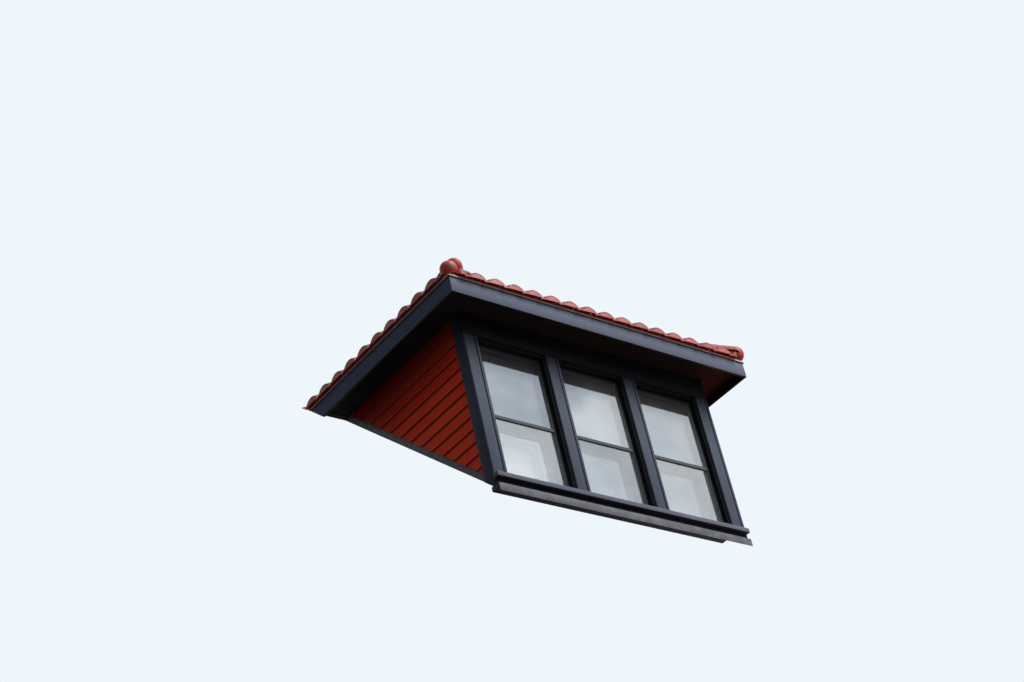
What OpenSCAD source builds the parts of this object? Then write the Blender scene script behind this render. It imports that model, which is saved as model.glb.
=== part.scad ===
// Hipped dormer with three double-hung windows, for a steep tiled roof.
// The origin lies on the sloping foot, at the middle of the front wall's face.
// X runs along the front wall, Y goes back into the roof, Z is up.

/* [Roof below] */
// Slope of the roof that the dormer stands on, in degrees
main_pitch = 45; // [42:1:50]
// Thickness of the sole plates, square to the roof below
sole_t = 40; // [25:1:60]
// How far the front sole reaches back from the wall's face
sole_depth = 90; // [60:5:100]
// How far the front sole stands out in front of the wall's face
sole_nose = 30; // [15:1:45]
// Height of the front sole's upstand
sole_front_h = 40; // [30:1:55]
// Thickness of the valley boards, square to the roof below
valley_t = 25; // [18:1:40]
// Depth of the valley boards, measured square to the dormer's roof
valley_d = 85; // [60:1:140]

/* [Front wall] */
// Width of one window opening between the face boards
opening_w = 770; // [600:10:950]
// Width of a mullion's face
mullion_w = 145; // [110:5:200]
// Width of a corner post's face
post_w = 150; // [130:5:220]
// Thickness of the face boards, frieze and corner boards
board_t = 22; // [16:1:30]
// Width of the edge strip at the right of each face board
strip_w = 26; // [15:1:40]
// Width of the groove beside the edge strip
groove_w = 12; // [4:1:20]
// Depth of that groove
groove_d = 14; // [6:1:15]
// Thickness of the front wall from its face to the room
front_wall_t = 200; // [192:2:260]
// Height of the window heads
head_z = 1580; // [1400:10:1650]
// Height of the sill's upper face
sill_z = 150; // [140:1:170]
// Thickness of the sill
sill_t = 45; // [35:1:45]
// How far the sill stands out from the wall's face
sill_nose = 45; // [30:1:70]

/* [Cheeks] */
// Thickness of the framed cheek walls
cheek_t = 100; // [80:1:140]
// Width of the corner boards on the cheeks
corner_board_w = 112; // [80:2:160]
// Thickness of the clapboards at their lower edge
cladding_t = 20; // [14:1:21]
// Height of the side flashing, square to the roof below
flashing_h = 60; // [40:1:90]
// Thickness of the sheet flashing
flashing_t = 4; // [2:1:6]

/* [Windows] */
// Thickness of the window frame's jambs and head
jamb_t = 23; // [18:1:30]
// Thickness of the window frame's bottom board
stool_t = 20; // [15:1:30]
// How far the stops and the parting bead stand out from the jamb
stop_w = 14; // [10:1:20]
// Thickness of the parting bead, front to back
bead_t = 10; // [8:1:11]
// Room between a sash and the jambs and stops that it slides along
slide_gap = 2; // [1:0.5:3]
// Depth of the storm window's face behind the wall's face
storm_y = 70; // [60:1:75]
// Thickness of the storm window's frame, front to back
storm_t = 18; // [16:1:24]
// Width of the storm window's frame bars
storm_bar = 25; // [18:1:35]
// Height of the meeting rails' lower edge
rail_z = 794; // [700:1:900]
// Height of the meeting rails
rail_h = 33; // [28:1:45]
// Depth of the upper sash's face behind the wall's face
upper_y = 103; // [101:1:106]
// Depth of the lower sash's face behind the wall's face
lower_y = 150; // [149:1:152]
// Thickness of the sashes, front to back
sash_t = 35; // [32:1:36]
// Width of the sash stiles and of the top rail
stile_w = 45; // [38:1:60]
// Height of the lower sash's bottom rail
bottom_rail_h = 75; // [55:1:100]
// Thickness of the window glass
pane_t = 3; // [2:0.5:4]
// Width of the rebate that holds a sash's glass
rebate_w = 8; // [5:1:12]

/* [Eaves] */
// Height of the soffit's lower face
soffit_z = 1818; // [1760:1:1900]
// Thickness of the soffit boards
soffit_t = 12; // [9:1:20]
// Reach of the eaves from the wall faces to the fascia's face
overhang = 303; // [200:1:450]
// Thickness of the fascia boards
fascia_t = 25; // [18:1:35]
// Height of the fascia boards
fascia_h = 178; // [140:1:240]
// How far the fascia hangs below the soffit
fascia_drop = 88; // [20:1:110]
// Thickness of the strip along the fascia's upper edge
eave_strip_t = 12; // [8:1:20]
// Height of that strip
eave_strip_h = 30; // [20:1:45]

/* [Dormer roof] */
// Slope of the dormer's own roof, in degrees
pitch = 30; // [24:1:34]
// Thickness of the roof boards
deck_t = 20; // [15:1:30]
// Height of the tiles' hills over the roof boards
tile_t = 60; // [50:1:80]
// Height of the hollows between the hills over the roof boards
hollow_t = 16; // [10:1:25]
// Spacing of the hills along the eaves
tile_pitch = 210.5; // [195:0.5:260]
// Radius of the hills' round backs
hill_r = 109; // [80:1:120]
// How far one front hill lies right of the middle of the front eave
front_hill_shift = 12; // [0:1:100]
// How far one side hill lies in front of the ridge's front end
side_hill_shift = 73; // [0:1:100]
// How far the tiles' lower ends stand out from the fascia's face
tile_lip = 52; // [30:1:60]
// Width of the rafters and the ridge board
rafter_w = 45; // [38:1:60]
// Depth of the rafters
rafter_d = 95; // [80:1:120]
// Spacing of the rafters
rafter_step = 480; // [400:10:600]
// Depth of the birdsmouth where a rafter sits on the wall
birdsmouth_d = 30; // [15:1:40]
// Depth of the ridge board and the hip rafters
ridge_d = 150; // [120:1:200]
// Outer radius of the hip and ridge cap tiles
cap_r = 100; // [90:1:120]
// How far the caps' centre line lies below the line where the tile layers meet
cap_sink = 10; // [0:1:40]
// Height over that centre line at which the caps' round backs turn into straight sides
cap_side_h = 30; // [20:1:60]
// Radius of the round end tile at the foot of each hip
starter_r = 84; // [75:1:95]
// How far the end tile's centre lies below the line where the tile layers meet
starter_sink = 38; // [25:1:60]
// How far the end tile's centre lies in from the fascia's corner, both ways
starter_in = 30; // [10:1:60]
// How far the ceiling's upper face lies below the top of the walls
ceiling_drop = 60; // [0:5:120]
// Thickness of the ceiling panel
ceiling_t = 18; // [12:1:25]

/* [Hidden] */
$fn = 64;

// Colours as painted and fired
charcoal = [0.34, 0.36, 0.41];
slate = [0.42, 0.44, 0.51];
vermilion = [0.62, 0.20, 0.12];
terracotta = [0.72, 0.38, 0.33];
sand = [0.50, 0.43, 0.41];
lead = [0.45, 0.46, 0.47];
plaster = [0.86, 0.85, 0.81];
bare_wood = [0.72, 0.58, 0.42];
clear_glass = [0.75, 0.84, 0.88, 0.5];

// Window places, counted from the middle
SIDES = [-1, 1];
BAYS = [-1, 0, 1];

// Widths and faces
wall_w = 3 * opening_w + 2 * mullion_w + 2 * post_w;
face_x = wall_w / 2;
frame_x = face_x - board_t;
room_x = frame_x - cheek_t;
bay_step = opening_w + mullion_w;
far = 3 * wall_w;
joint = 1;
touch = 0.5;

// Heights that follow from the eaves
eave_x = face_x + overhang;
fascia_z = soffit_z - fascia_drop;
fascia_top = fascia_z + fascia_h;
ridge_y = eave_x - overhang;
ridge_z = fascia_top + eave_x * tan(pitch);
wall_top = fascia_top + (overhang + board_t) * tan(pitch) - rafter_d / cos(pitch) + birdsmouth_d;
tile_top = deck_t + tile_t;

// Lines of the roof below, seen from the side
function roof_z(y, lift = 0) = y * tan(main_pitch) + lift / cos(main_pitch);
function roof_y(z, lift = 0) = (z - lift / cos(main_pitch)) / tan(main_pitch);

// Everything above the roof below, or above a layer of the given thickness on it
module above_roof(lift = 0) {
    intersection() {
        children();
        rotate([main_pitch, 0, 0])
            translate([-far, -far, lift])
                cube([2 * far, 2 * far, far]);
    }
}

// A layer of the given thickness lying on the roof below
module roof_layer(t) {
    rotate([main_pitch, 0, 0])
        translate([-far, -far, 0])
            cube([2 * far, 2 * far, t]);
}

// A (y, z) outline pushed along X from x0 to x1
module side_prism(x0, x1, outline) {
    translate([min(x0, x1), 0, 0])
        rotate([90, 0, 90])
            linear_extrude(abs(x1 - x0))
                polygon(outline);
}

// A box between two corners
module block(x0, x1, y0, y1, z0, z1) {
    translate([min(x0, x1), y0, z0])
        cube([abs(x1 - x0), y1 - y0, z1 - z0]);
}

// Places on one slope of the dormer's roof: side 0 is the front, -1 and 1 the sides.
// X runs along the eave, Y up the rafters' top and Z out of it, from below the ridge's front end.
module on_slope(side) {
    translate([0, ridge_y, 0])
        rotate([0, 0, side * 90])
            translate([0, -eave_x, fascia_top])
                rotate([pitch, 0, 0])
                    children();
}

// A slab that follows one slope. d0 and d1 are its faces above the rafters' top.
module slope_slab(side, d0, d1) {
    on_slope(side)
        translate([-far, -far, d0])
            cube([2 * far, 2 * far, d1 - d0]);
}

// Everything within the fascias' faces, passed by reach
module within_eaves(reach) {
    block(-eave_x - reach, eave_x + reach, -overhang - reach, far, 0, 2 * far);
}

// Plan of one slope, bounded by the hips and the ridge, drawn back by gap
module slope_plan(side, gap = 0) {
    translate([0, 0, -far])
        linear_extrude(2 * far)
            if (side == 0)
                translate([0, -gap])
                    polygon([[0, ridge_y], [far, ridge_y - far], [-far, ridge_y - far]]);
            else
                scale([side, 1])
                    translate([gap, 0])
                        polygon([[0, ridge_y], [0, far], [far, far], [far, ridge_y - far]]);
}

// The whole space under the three slopes, raised by d
module under_roof(d) {
    intersection() {
        slope_slab(-1, d - far, d);
        slope_slab(0, d - far, d);
        slope_slab(1, d - far, d);
    }
}

// A board along the eaves, mitred at the corners: reach o0 to o1 from the wall faces
module eave_board(side, o0, o1, z0, z1, gap = 0) {
    translate([0, 0, z0])
        linear_extrude(z1 - z0)
            if (side == 0)
                polygon([
                    [-face_x - o0 + gap, -o0], [face_x + o0 - gap, -o0],
                    [face_x + o1 - gap, -o1], [-face_x - o1 + gap, -o1]
                ]);
            else
                scale([side, 1])
                    polygon([
                        [face_x + o0, -o0 + gap], [face_x + o1, -o1 + gap],
                        [face_x + o1, far / 2], [face_x + o0, far / 2]
                    ]);
}

// The sole plate under the front wall; its lower face is what holds the dormer
module front_sole() {
    color(bare_wood) {
        side_prism(-frame_x, frame_x, [
            [board_t, roof_z(board_t)], [sole_depth, roof_z(sole_depth)],
            [sole_depth, sill_z - sill_t], [board_t, sill_z - sill_t]
        ]);
        side_prism(-face_x, face_x, [
            [-sole_nose, roof_z(-sole_nose)], [board_t, roof_z(board_t)],
            [board_t, sole_front_h], [-sole_nose, sole_front_h]
        ]);
    }
}

// A sole plate up the slope, under one cheek
module side_sole(side) {
    color(bare_wood)
        side_prism(side * room_x, side * frame_x, [
            [sole_depth, roof_z(sole_depth)], [roof_y(wall_top), wall_top],
            [roof_y(wall_top, sole_t), wall_top], [sole_depth, roof_z(sole_depth, sole_t)]
        ]);
}
module left_sole() { side_sole(-1); }
module right_sole() { side_sole(1); }

// Boards on the roof below that carry the feet of the side slopes
module valley_boards() {
    color(bare_wood)
        difference() {
            intersection() {
                roof_layer(valley_t);
                under_roof(0);
                block(-eave_x + fascia_t, eave_x - fascia_t, 0, far, fascia_top, far);
            }
            under_roof(-valley_d);
            block(-rafter_w / 2, rafter_w / 2, 0, far, 0, far);
            for (side = SIDES) side_sole(side);
            for (side = SIDES) cheek_wall(side);
        }
}

// Board between the front sole and the sill
module apron_board() {
    color(charcoal)
        block(-face_x, face_x, 0, board_t, sole_front_h + flashing_t, sill_z - sill_t);
}

// A triangular cheek wall on its sole plate
module cheek_wall(side) {
    color(plaster)
        side_prism(side * room_x, side * frame_x, [
            [front_wall_t, roof_z(front_wall_t, sole_t)], [front_wall_t, wall_top],
            [roof_y(wall_top, sole_t), wall_top]
        ]);
}
module left_cheek_wall() { cheek_wall(-1); }
module right_cheek_wall() { cheek_wall(1); }

// A corner post, standing on the front sole and on the cheek's sole
module corner_post(side) {
    color(plaster)
        side_prism(side * room_x, side * frame_x, [
            [board_t, sill_z - sill_t], [sole_depth, sill_z - sill_t],
            [sole_depth, roof_z(sole_depth, sole_t)], [front_wall_t, roof_z(front_wall_t, sole_t)],
            [front_wall_t, head_z], [board_t, head_z]
        ]);
}
module left_corner_post() { corner_post(-1); }
module right_corner_post() { corner_post(1); }

// A mullion between two window frames
module mullion(side) {
    color(plaster)
        block(
            side * (opening_w / 2), side * (opening_w / 2 + mullion_w),
            board_t, front_wall_t, sill_z, head_z
        );
}
module left_mullion() { mullion(-1); }
module right_mullion() { mullion(1); }

// Beam over the windows, up to the rafters' seat
module head_beam() {
    color(plaster)
        block(-frame_x, frame_x, board_t, front_wall_t, head_z, wall_top);
}

// Board over the window heads, up to the soffit
module frieze_board() {
    color(charcoal)
        block(-face_x, face_x, 0, board_t, head_z, soffit_z);
}

// A face board from x0 to x1 with a groove beside its right-hand edge strip
module face_board(x0, x1) {
    difference() {
        block(x0, x1, 0, board_t, sill_z, head_z);
        translate([x1 - strip_w - groove_w, -touch, sill_z - touch])
            cube([groove_w, groove_d + touch, head_z - sill_z + 2 * touch]);
    }
}

module face_boards() {
    color(charcoal) {
        face_board(-face_x, -face_x + post_w);
        for (side = SIDES)
            face_board(
                side * bay_step / 2 - mullion_w / 2,
                side * bay_step / 2 + mullion_w / 2
            );
        face_board(face_x - post_w, face_x);
    }
}

// Boards on the cheeks beside the front corners
module corner_boards() {
    color(charcoal)
        for (side = SIDES)
            side_prism(side * frame_x, side * face_x, [
                [board_t, roof_z(board_t)], [board_t + corner_board_w, roof_z(board_t + corner_board_w)],
                [board_t + corner_board_w, soffit_z], [board_t, soffit_z]
            ]);
}

// One sill under all three windows
module window_sill() {
    color(charcoal) {
        block(-face_x, face_x, -sill_nose, board_t, sill_z - sill_t, sill_z);
        block(-room_x, room_x, board_t, front_wall_t, sill_z - sill_t, sill_z);
    }
}

// A rectangular ring in the plane of the windows: outer size, bar widths and depth
module ring(bay, half_w, z0, z1, side_bar, low_bar, top_bar, y0, y1) {
    translate([bay * bay_step, 0, 0])
        difference() {
            block(-half_w, half_w, y0, y1, z0, z1);
            block(
                -half_w + side_bar, half_w - side_bar, y0 - touch, y1 + touch,
                z0 + low_bar, z1 - top_bar
            );
        }
}

// Faces of the window frame's clear opening
clear_x = opening_w / 2 - jamb_t;
clear_low = sill_z + stool_t;
clear_top = head_z - jamb_t;
stop_y = storm_y + storm_t;
bead_y = (upper_y + sash_t + lower_y - bead_t) / 2;
inner_stop_y = lower_y + sash_t + slide_gap;

// A window's jambs, head and bottom board with the outer stop, parting bead and inner stop
module window_frame(bay) {
    color(charcoal) {
        ring(bay, opening_w / 2, sill_z, head_z, jamb_t, stool_t, jamb_t, board_t, front_wall_t);
        ring(bay, clear_x, clear_low, clear_top, stop_w, stop_w, stop_w, stop_y, upper_y - slide_gap);
        ring(bay, clear_x, clear_low, clear_top, stop_w, 0, stop_w, bead_y, bead_y + bead_t);
        ring(bay, clear_x, clear_low, clear_top, stop_w, stop_w, stop_w, inner_stop_y, front_wall_t);
    }
}
module left_window_frame() { window_frame(-1); }
module middle_window_frame() { window_frame(0); }
module right_window_frame() { window_frame(1); }

// Storm windows: a slim frame and a meeting rail in front of each pair of sashes
module storm_frames() {
    color(slate)
        for (bay = BAYS) {
            ring(bay, clear_x, clear_low, clear_top, storm_bar, storm_bar, storm_bar, storm_y, stop_y);
            translate([bay * bay_step, 0, 0])
                block(-clear_x + touch, clear_x - touch, storm_y, stop_y, rail_z, rail_z + rail_h);
        }
}

// Sash edges: room to slide beside the jambs, and rails that meet at mid height.
// Closed, the upper sash is up against the head and the lower one stands on the bottom board.
sash_x = clear_x - slide_gap;
upper_low = rail_z;
upper_top = clear_top;
lower_low = clear_low;
lower_top = rail_z + rail_h;

// One sash: stiles, rails and the rebate for the glass on its outer side
module sash(bay, y0, z0, z1, low_rail, top_rail) {
    color(charcoal)
        difference() {
            ring(bay, sash_x, z0, z1, stile_w, low_rail, top_rail, y0, y0 + sash_t);
            translate([bay * bay_step, 0, 0])
                block(
                    -sash_x + stile_w - rebate_w, sash_x - stile_w + rebate_w,
                    y0 - touch, y0 + sash_t / 2,
                    z0 + low_rail - rebate_w, z1 - top_rail + rebate_w
                );
        }
}
module upper_sash(bay) { sash(bay, upper_y, upper_low, upper_top, rail_h, stile_w); }
module lower_sash(bay) { sash(bay, lower_y, lower_low, lower_top, bottom_rail_h, rail_h); }
module left_upper_sash() { upper_sash(-1); }
module middle_upper_sash() { upper_sash(0); }
module right_upper_sash() { upper_sash(1); }
module left_lower_sash() { lower_sash(-1); }
module middle_lower_sash() { lower_sash(0); }
module right_lower_sash() { lower_sash(1); }

// Storm glass: an upper pane near the face and a lower pane behind it
module storm_panes() {
    pane_x = clear_x - storm_bar;
    upper_pane_y = storm_y + storm_t / 4;
    lower_pane_y = storm_y + storm_t * 3 / 4 - pane_t;
    color(clear_glass)
        for (bay = BAYS)
            translate([bay * bay_step, 0, 0]) {
                block(
                    -pane_x, pane_x, upper_pane_y, upper_pane_y + pane_t,
                    rail_z + rail_h, clear_top - storm_bar
                );
                block(
                    -pane_x, pane_x, lower_pane_y, lower_pane_y + pane_t,
                    clear_low + storm_bar, rail_z
                );
            }
}

// The glass of one sash, seated in its rebate
module sash_pane(bay, y0, z0, z1) {
    half_w = sash_x - stile_w + rebate_w;
    back = y0 + sash_t / 2;
    translate([bay * bay_step, 0, 0])
        block(-half_w, half_w, back - pane_t, back, z0 - rebate_w, z1 + rebate_w);
}

module sash_panes() {
    color(clear_glass)
        for (bay = BAYS) {
            sash_pane(bay, upper_y, upper_low + rail_h, upper_top - stile_w);
            sash_pane(bay, lower_y, lower_low + bottom_rail_h, lower_top - rail_h);
        }
}

// Clapboards on one cheek, from the corner board to the flashing
module cladding(side) {
    start_y = board_t + corner_board_w;
    color(vermilion)
        side_prism(side * frame_x, side * (frame_x + cladding_t), [
            [start_y, roof_z(start_y, flashing_h)], [start_y, soffit_z],
            [roof_y(soffit_z, flashing_h), soffit_z]
        ]);
}
module left_cladding() { cladding(-1); }
module right_cladding() { cladding(1); }

// Sheet flashing along the foot of each cheek
module side_flashings() {
    start_y = board_t + corner_board_w;
    color(lead)
        for (side = SIDES)
            side_prism(side * frame_x, side * (frame_x + flashing_t), [
                [start_y, roof_z(start_y)], [roof_y(soffit_z), soffit_z],
                [roof_y(soffit_z, flashing_h), soffit_z], [start_y, roof_z(start_y, flashing_h)]
            ]);
}

// Sheet flashing folded over the front sole
module apron_flashing() {
    out_y = -sole_nose - flashing_t;
    color(lead)
        side_prism(-face_x, face_x, [
            [out_y, roof_z(out_y)], [-sole_nose, roof_z(-sole_nose)],
            [-sole_nose, sole_front_h], [board_t, sole_front_h],
            [board_t, sole_front_h + flashing_t], [out_y, sole_front_h + flashing_t]
        ]);
}

// A fascia board, bevelled under the roof boards and cut where it meets the roof below
module fascia(side) {
    color(slate)
        above_roof()
            intersection() {
                eave_board(side, overhang - fascia_t, overhang, fascia_z, fascia_top + fascia_t);
                under_roof(0);
            }
}
module front_fascia() { fascia(0); }
module left_fascia() { fascia(-1); }
module right_fascia() { fascia(1); }

// The strip along the upper edge of the fascia
module eave_strips() {
    color(sand)
        above_roof()
            for (side = BAYS)
                intersection() {
                    eave_board(
                        side, overhang, overhang + eave_strip_t,
                        fascia_top - eave_strip_h, fascia_top, joint
                    );
                    under_roof(0);
                }
}

module soffit_boards() {
    color(charcoal)
        above_roof()
            for (side = BAYS)
                eave_board(side, -board_t, overhang - fascia_t, soffit_z, soffit_z + soffit_t, joint);
}

// Ceiling panel between the cheeks
module ceiling() {
    ceiling_top = wall_top - ceiling_drop;
    color(plaster)
        above_roof()
            block(-room_x, room_x, front_wall_t, far, ceiling_top - ceiling_t, ceiling_top);
}

// Space that rafters of depth d fill under the roof boards
module rafter_zone(d) {
    above_roof(valley_t)
        difference() {
            under_roof(0);
            under_roof(-d);
        }
}

// The plan strip along a hip, which ends short of the ridge's front end by gap
module hip_strip(side, w, gap) {
    translate([0, ridge_y, 0])
        rotate([0, 0, side * 45])
            translate([-w / 2, -far, 0])
                cube([w, far - gap, far]);
}

// Rafters on the three slopes, the hip rafters and the ridge board
module rafters() {
    tail = overhang - fascia_t;
    half_ridge = rafter_w / 2;
    color(bare_wood) {
        // front rafters and the short ones beside them
        for (x = [-2 * rafter_step : rafter_step : 2 * rafter_step])
            rafter_trim()
                intersection() {
                    rafter_zone(rafter_d);
                    slope_plan(0, rafter_w);
                    block(x - rafter_w / 2, x + rafter_w / 2, -tail, ridge_y - rafter_w, 0, far);
                }
        // side rafters, down to the eaves or to the valley boards
        for (side = SIDES)
            for (y = [rafter_step / 2 : rafter_step : roof_y(ridge_z) - rafter_step / 2])
                rafter_trim()
                    intersection() {
                        rafter_zone(rafter_d);
                        slope_plan(side, rafter_w);
                        block(
                            side * (half_ridge), side * (face_x + tail),
                            y - rafter_w / 2, y + rafter_w / 2, 0, far
                        );
                    }
        for (side = SIDES)
            rafter_trim()
                intersection() {
                    rafter_zone(ridge_d);
                    hip_strip(side, rafter_w, rafter_w);
                    block(-face_x - tail, face_x + tail, -tail, far, 0, far);
                }
        above_roof()
            intersection() {
                under_roof(0);
                block(-half_ridge, half_ridge, ridge_y, far, ridge_z - ridge_d, far);
            }
    }
}

// Birdsmouths: rafters are cut where they sit on the walls
module rafter_trim() {
    difference() {
        children();
        head_beam();
        for (side = SIDES) cheek_wall(side);
        for (side = BAYS) soffit_space(side);
    }
}

// Space below the soffit boards' upper face
module soffit_space(side) {
    eave_board(side, -board_t, overhang, 0, soffit_z + soffit_t);
}

// Boards under the tiles on all three slopes
module roof_boards() {
    color(bare_wood)
        above_roof()
            for (side = BAYS)
                intersection() {
                    slope_slab(side, 0, deck_t);
                    slope_plan(side, joint);
                    within_eaves(0);
                }
}

// Height of the hip and ridge line on top of the tiles, over the rafters' top
cap_lift = tile_top / cos(pitch);
// Half the width of the caps' bed
cap_half = sqrt(cap_r * cap_r - cap_side_h * cap_side_h);
hip_pitch = atan(tan(pitch) / sqrt(2));
hip_len = eave_x * sqrt(2) / cos(hip_pitch);

// Place at the foot of a hip, on the line where the tile layers meet, with X up the hip
module hip_foot(side) {
    foot_x = side * (eave_x - starter_in);
    foot_y = ridge_y - eave_x + starter_in;
    translate([foot_x, foot_y, fascia_top + starter_in * tan(pitch) + cap_lift])
        rotate([0, 0, 90 + side * 45])
            children();
}

// Everything beyond the foot of a hip, on the corner's side
module beyond_foot(side) {
    hip_foot(side)
        translate([-far, -far, -far])
            cube([far, 2 * far, 2 * far]);
}

// The round backs of one slope's tiles, which run up the slope side by side
module hills(slope) {
    shift = slope == 0 ? front_hill_shift : -slope * side_hill_shift;
    count = ceil(roof_y(ridge_z) / tile_pitch);
    on_slope(slope)
        for (i = [-count : count])
            translate([shift + i * tile_pitch, -far, tile_top - hill_r])
                rotate([-90, 0, 0])
                    cylinder(h = 2 * far, r = hill_r);
}

// Space that one slope's tiles fill, with hollows between the hills
module tile_space(slope) {
    intersection() {
        union() {
            hills(slope);
            slope_slab(slope, deck_t - far, deck_t + hollow_t);
        }
        slope_slab(slope, deck_t, far);
        slope_plan(slope);
        within_eaves(tile_lip);
    }
}

// The tile layer of one slope, cut back at the caps and at the foot of the hips
module tiles(slope) {
    color(terracotta)
        above_roof()
            difference() {
                tile_space(slope);
                for (side = slope == 0 ? SIDES : [slope]) {
                    beyond_foot(side);
                    hip_strip(side, 2 * cap_half, -far);
                }
                block(-cap_half, cap_half, ridge_y - cap_half, far, 0, far);
            }
}
module front_tiles() { tiles(0); }
module left_tiles() { tiles(-1); }
module right_tiles() { tiles(1); }

// A run of caps along Z with the round back to -X, on a bed with straight sides
module cap_run(length) {
    intersection() {
        translate([-far, -cap_half, 0])
            cube([2 * far, 2 * cap_half, length]);
        union() {
            cylinder(h = length, r = cap_r);
            translate([0, -far, 0])
                cube([far, 2 * far, length]);
        }
    }
}

// Half-round caps along the hips, which meet over the ridge's front end
module hip_caps() {
    color(terracotta)
        for (side = SIDES)
            difference() {
                hip_foot(side)
                    translate([0, 0, -cap_sink])
                        rotate([0, 90 - hip_pitch, 0])
                            translate([0, 0, -cap_r])
                                cap_run(hip_len + 2 * cap_r);
                beyond_foot(side);
                under_roof(deck_t);
                block(side * joint / 2, -side * far, -far, far, 0, far);
            }
}

// Round closed end tiles at the corners, in front of the hips
module hip_ends() {
    color(terracotta)
        for (side = SIDES)
            intersection() {
                difference() {
                    hip_foot(side)
                        translate([0, 0, -starter_sink])
                            sphere(r = starter_r);
                    under_roof(deck_t);
                }
                beyond_foot(side);
            }
}

// Half-round caps along the ridge, from the hips to the roof below
module ridge_caps() {
    color(terracotta)
        above_roof()
            difference() {
                translate([0, ridge_y, ridge_z + cap_lift - cap_sink])
                    rotate([0, 90, 90])
                        cap_run(far);
                under_roof(deck_t);
                hip_caps();
            }
}

front_sole();
left_sole();
right_sole();
valley_boards();
apron_board();
left_cheek_wall();
right_cheek_wall();
left_corner_post();
right_corner_post();
left_mullion();
right_mullion();
head_beam();
frieze_board();
face_boards();
corner_boards();
window_sill();
left_window_frame();
middle_window_frame();
right_window_frame();
storm_frames();
left_upper_sash();
middle_upper_sash();
right_upper_sash();
left_lower_sash();
middle_lower_sash();
right_lower_sash();
storm_panes();
sash_panes();
left_cladding();
right_cladding();
side_flashings();
apron_flashing();
front_fascia();
left_fascia();
right_fascia();
eave_strips();
soffit_boards();
ceiling();
rafters();
roof_boards();
front_tiles();
left_tiles();
right_tiles();
hip_caps();
hip_ends();
ridge_caps();
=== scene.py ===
"""Looks of a hipped dormer: fired clay tiles, painted joinery, clapboards and mirroring windows."""
import logging
import math
import random
from dataclasses import dataclass, field
from enum import Enum
from typing import Iterable, Sequence

import bmesh
import bpy
from mathutils import Matrix, Vector


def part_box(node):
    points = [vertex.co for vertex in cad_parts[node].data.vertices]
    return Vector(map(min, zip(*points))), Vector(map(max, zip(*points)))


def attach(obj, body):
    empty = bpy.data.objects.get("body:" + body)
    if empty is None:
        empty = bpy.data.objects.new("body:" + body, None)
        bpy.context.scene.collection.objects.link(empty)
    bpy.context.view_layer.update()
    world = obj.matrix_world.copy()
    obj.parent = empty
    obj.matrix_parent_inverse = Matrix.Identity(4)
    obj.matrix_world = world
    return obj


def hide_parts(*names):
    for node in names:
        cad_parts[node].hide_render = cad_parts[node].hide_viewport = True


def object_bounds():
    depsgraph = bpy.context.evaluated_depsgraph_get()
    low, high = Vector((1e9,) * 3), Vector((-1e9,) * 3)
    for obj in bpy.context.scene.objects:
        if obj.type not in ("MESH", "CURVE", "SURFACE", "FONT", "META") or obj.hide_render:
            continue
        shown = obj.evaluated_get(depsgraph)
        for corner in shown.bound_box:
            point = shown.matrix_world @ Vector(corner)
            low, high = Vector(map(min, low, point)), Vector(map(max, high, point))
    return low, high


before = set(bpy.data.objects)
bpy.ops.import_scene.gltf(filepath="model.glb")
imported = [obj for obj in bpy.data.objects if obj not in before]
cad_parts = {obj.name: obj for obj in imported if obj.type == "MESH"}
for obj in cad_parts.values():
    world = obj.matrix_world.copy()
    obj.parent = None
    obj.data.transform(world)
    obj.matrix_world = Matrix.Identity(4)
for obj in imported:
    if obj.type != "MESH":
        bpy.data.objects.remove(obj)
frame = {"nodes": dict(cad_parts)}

log = logging.getLogger("dormer")

CAD_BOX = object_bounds()
Colour = tuple[float, float, float, float]
# How far the clapboards show, and the height of one of their laps
BOARD_STEP = 0.1252
FIRST_LAP = 1.671


def paint(red: int, green: int, blue: int) -> Colour:
    """Turn a screen colour of 0 to 255 into the linear colour that a shader takes.

    Args:
        red: The red share.
        green: The green share.
        blue: The blue share.

    Returns:
        The linear colour, opaque.
    """
    def linear(share: int) -> float:
        """Undo the screen's curve on one share."""
        value = share / 255
        return value / 12.92 if value <= 0.04045 else ((value + 0.055) / 1.055) ** 2.4

    return (linear(red), linear(green), linear(blue), 1.0)


def linked(name: str, data: bpy.types.ID) -> bpy.types.Object:
    """Make an object of some data and put it in the scene.

    Args:
        name: The object's name.
        data: Its mesh, lamp or camera.

    Returns:
        The object, at the origin.
    """
    made = bpy.data.objects.new(name, data)
    bpy.context.scene.collection.objects.link(made)
    return made


class Way(Enum):
    """The way that the fibres of a board or the length of a row run."""

    ALONG_X = (0.03, 1.0, 1.0)
    ALONG_Y = (1.0, 0.03, 1.0)
    ALONG_Z = (1.0, 1.0, 0.03)


class Side(Enum):
    """A side of the dormer, with its sign along X."""

    LEFT = -1
    FRONT = 0
    RIGHT = 1

    @property
    def word(self) -> str:
        """The side's name as the nodes use it."""
        return self.name.lower()


FLANKS = (Side.LEFT, Side.RIGHT)


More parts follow.
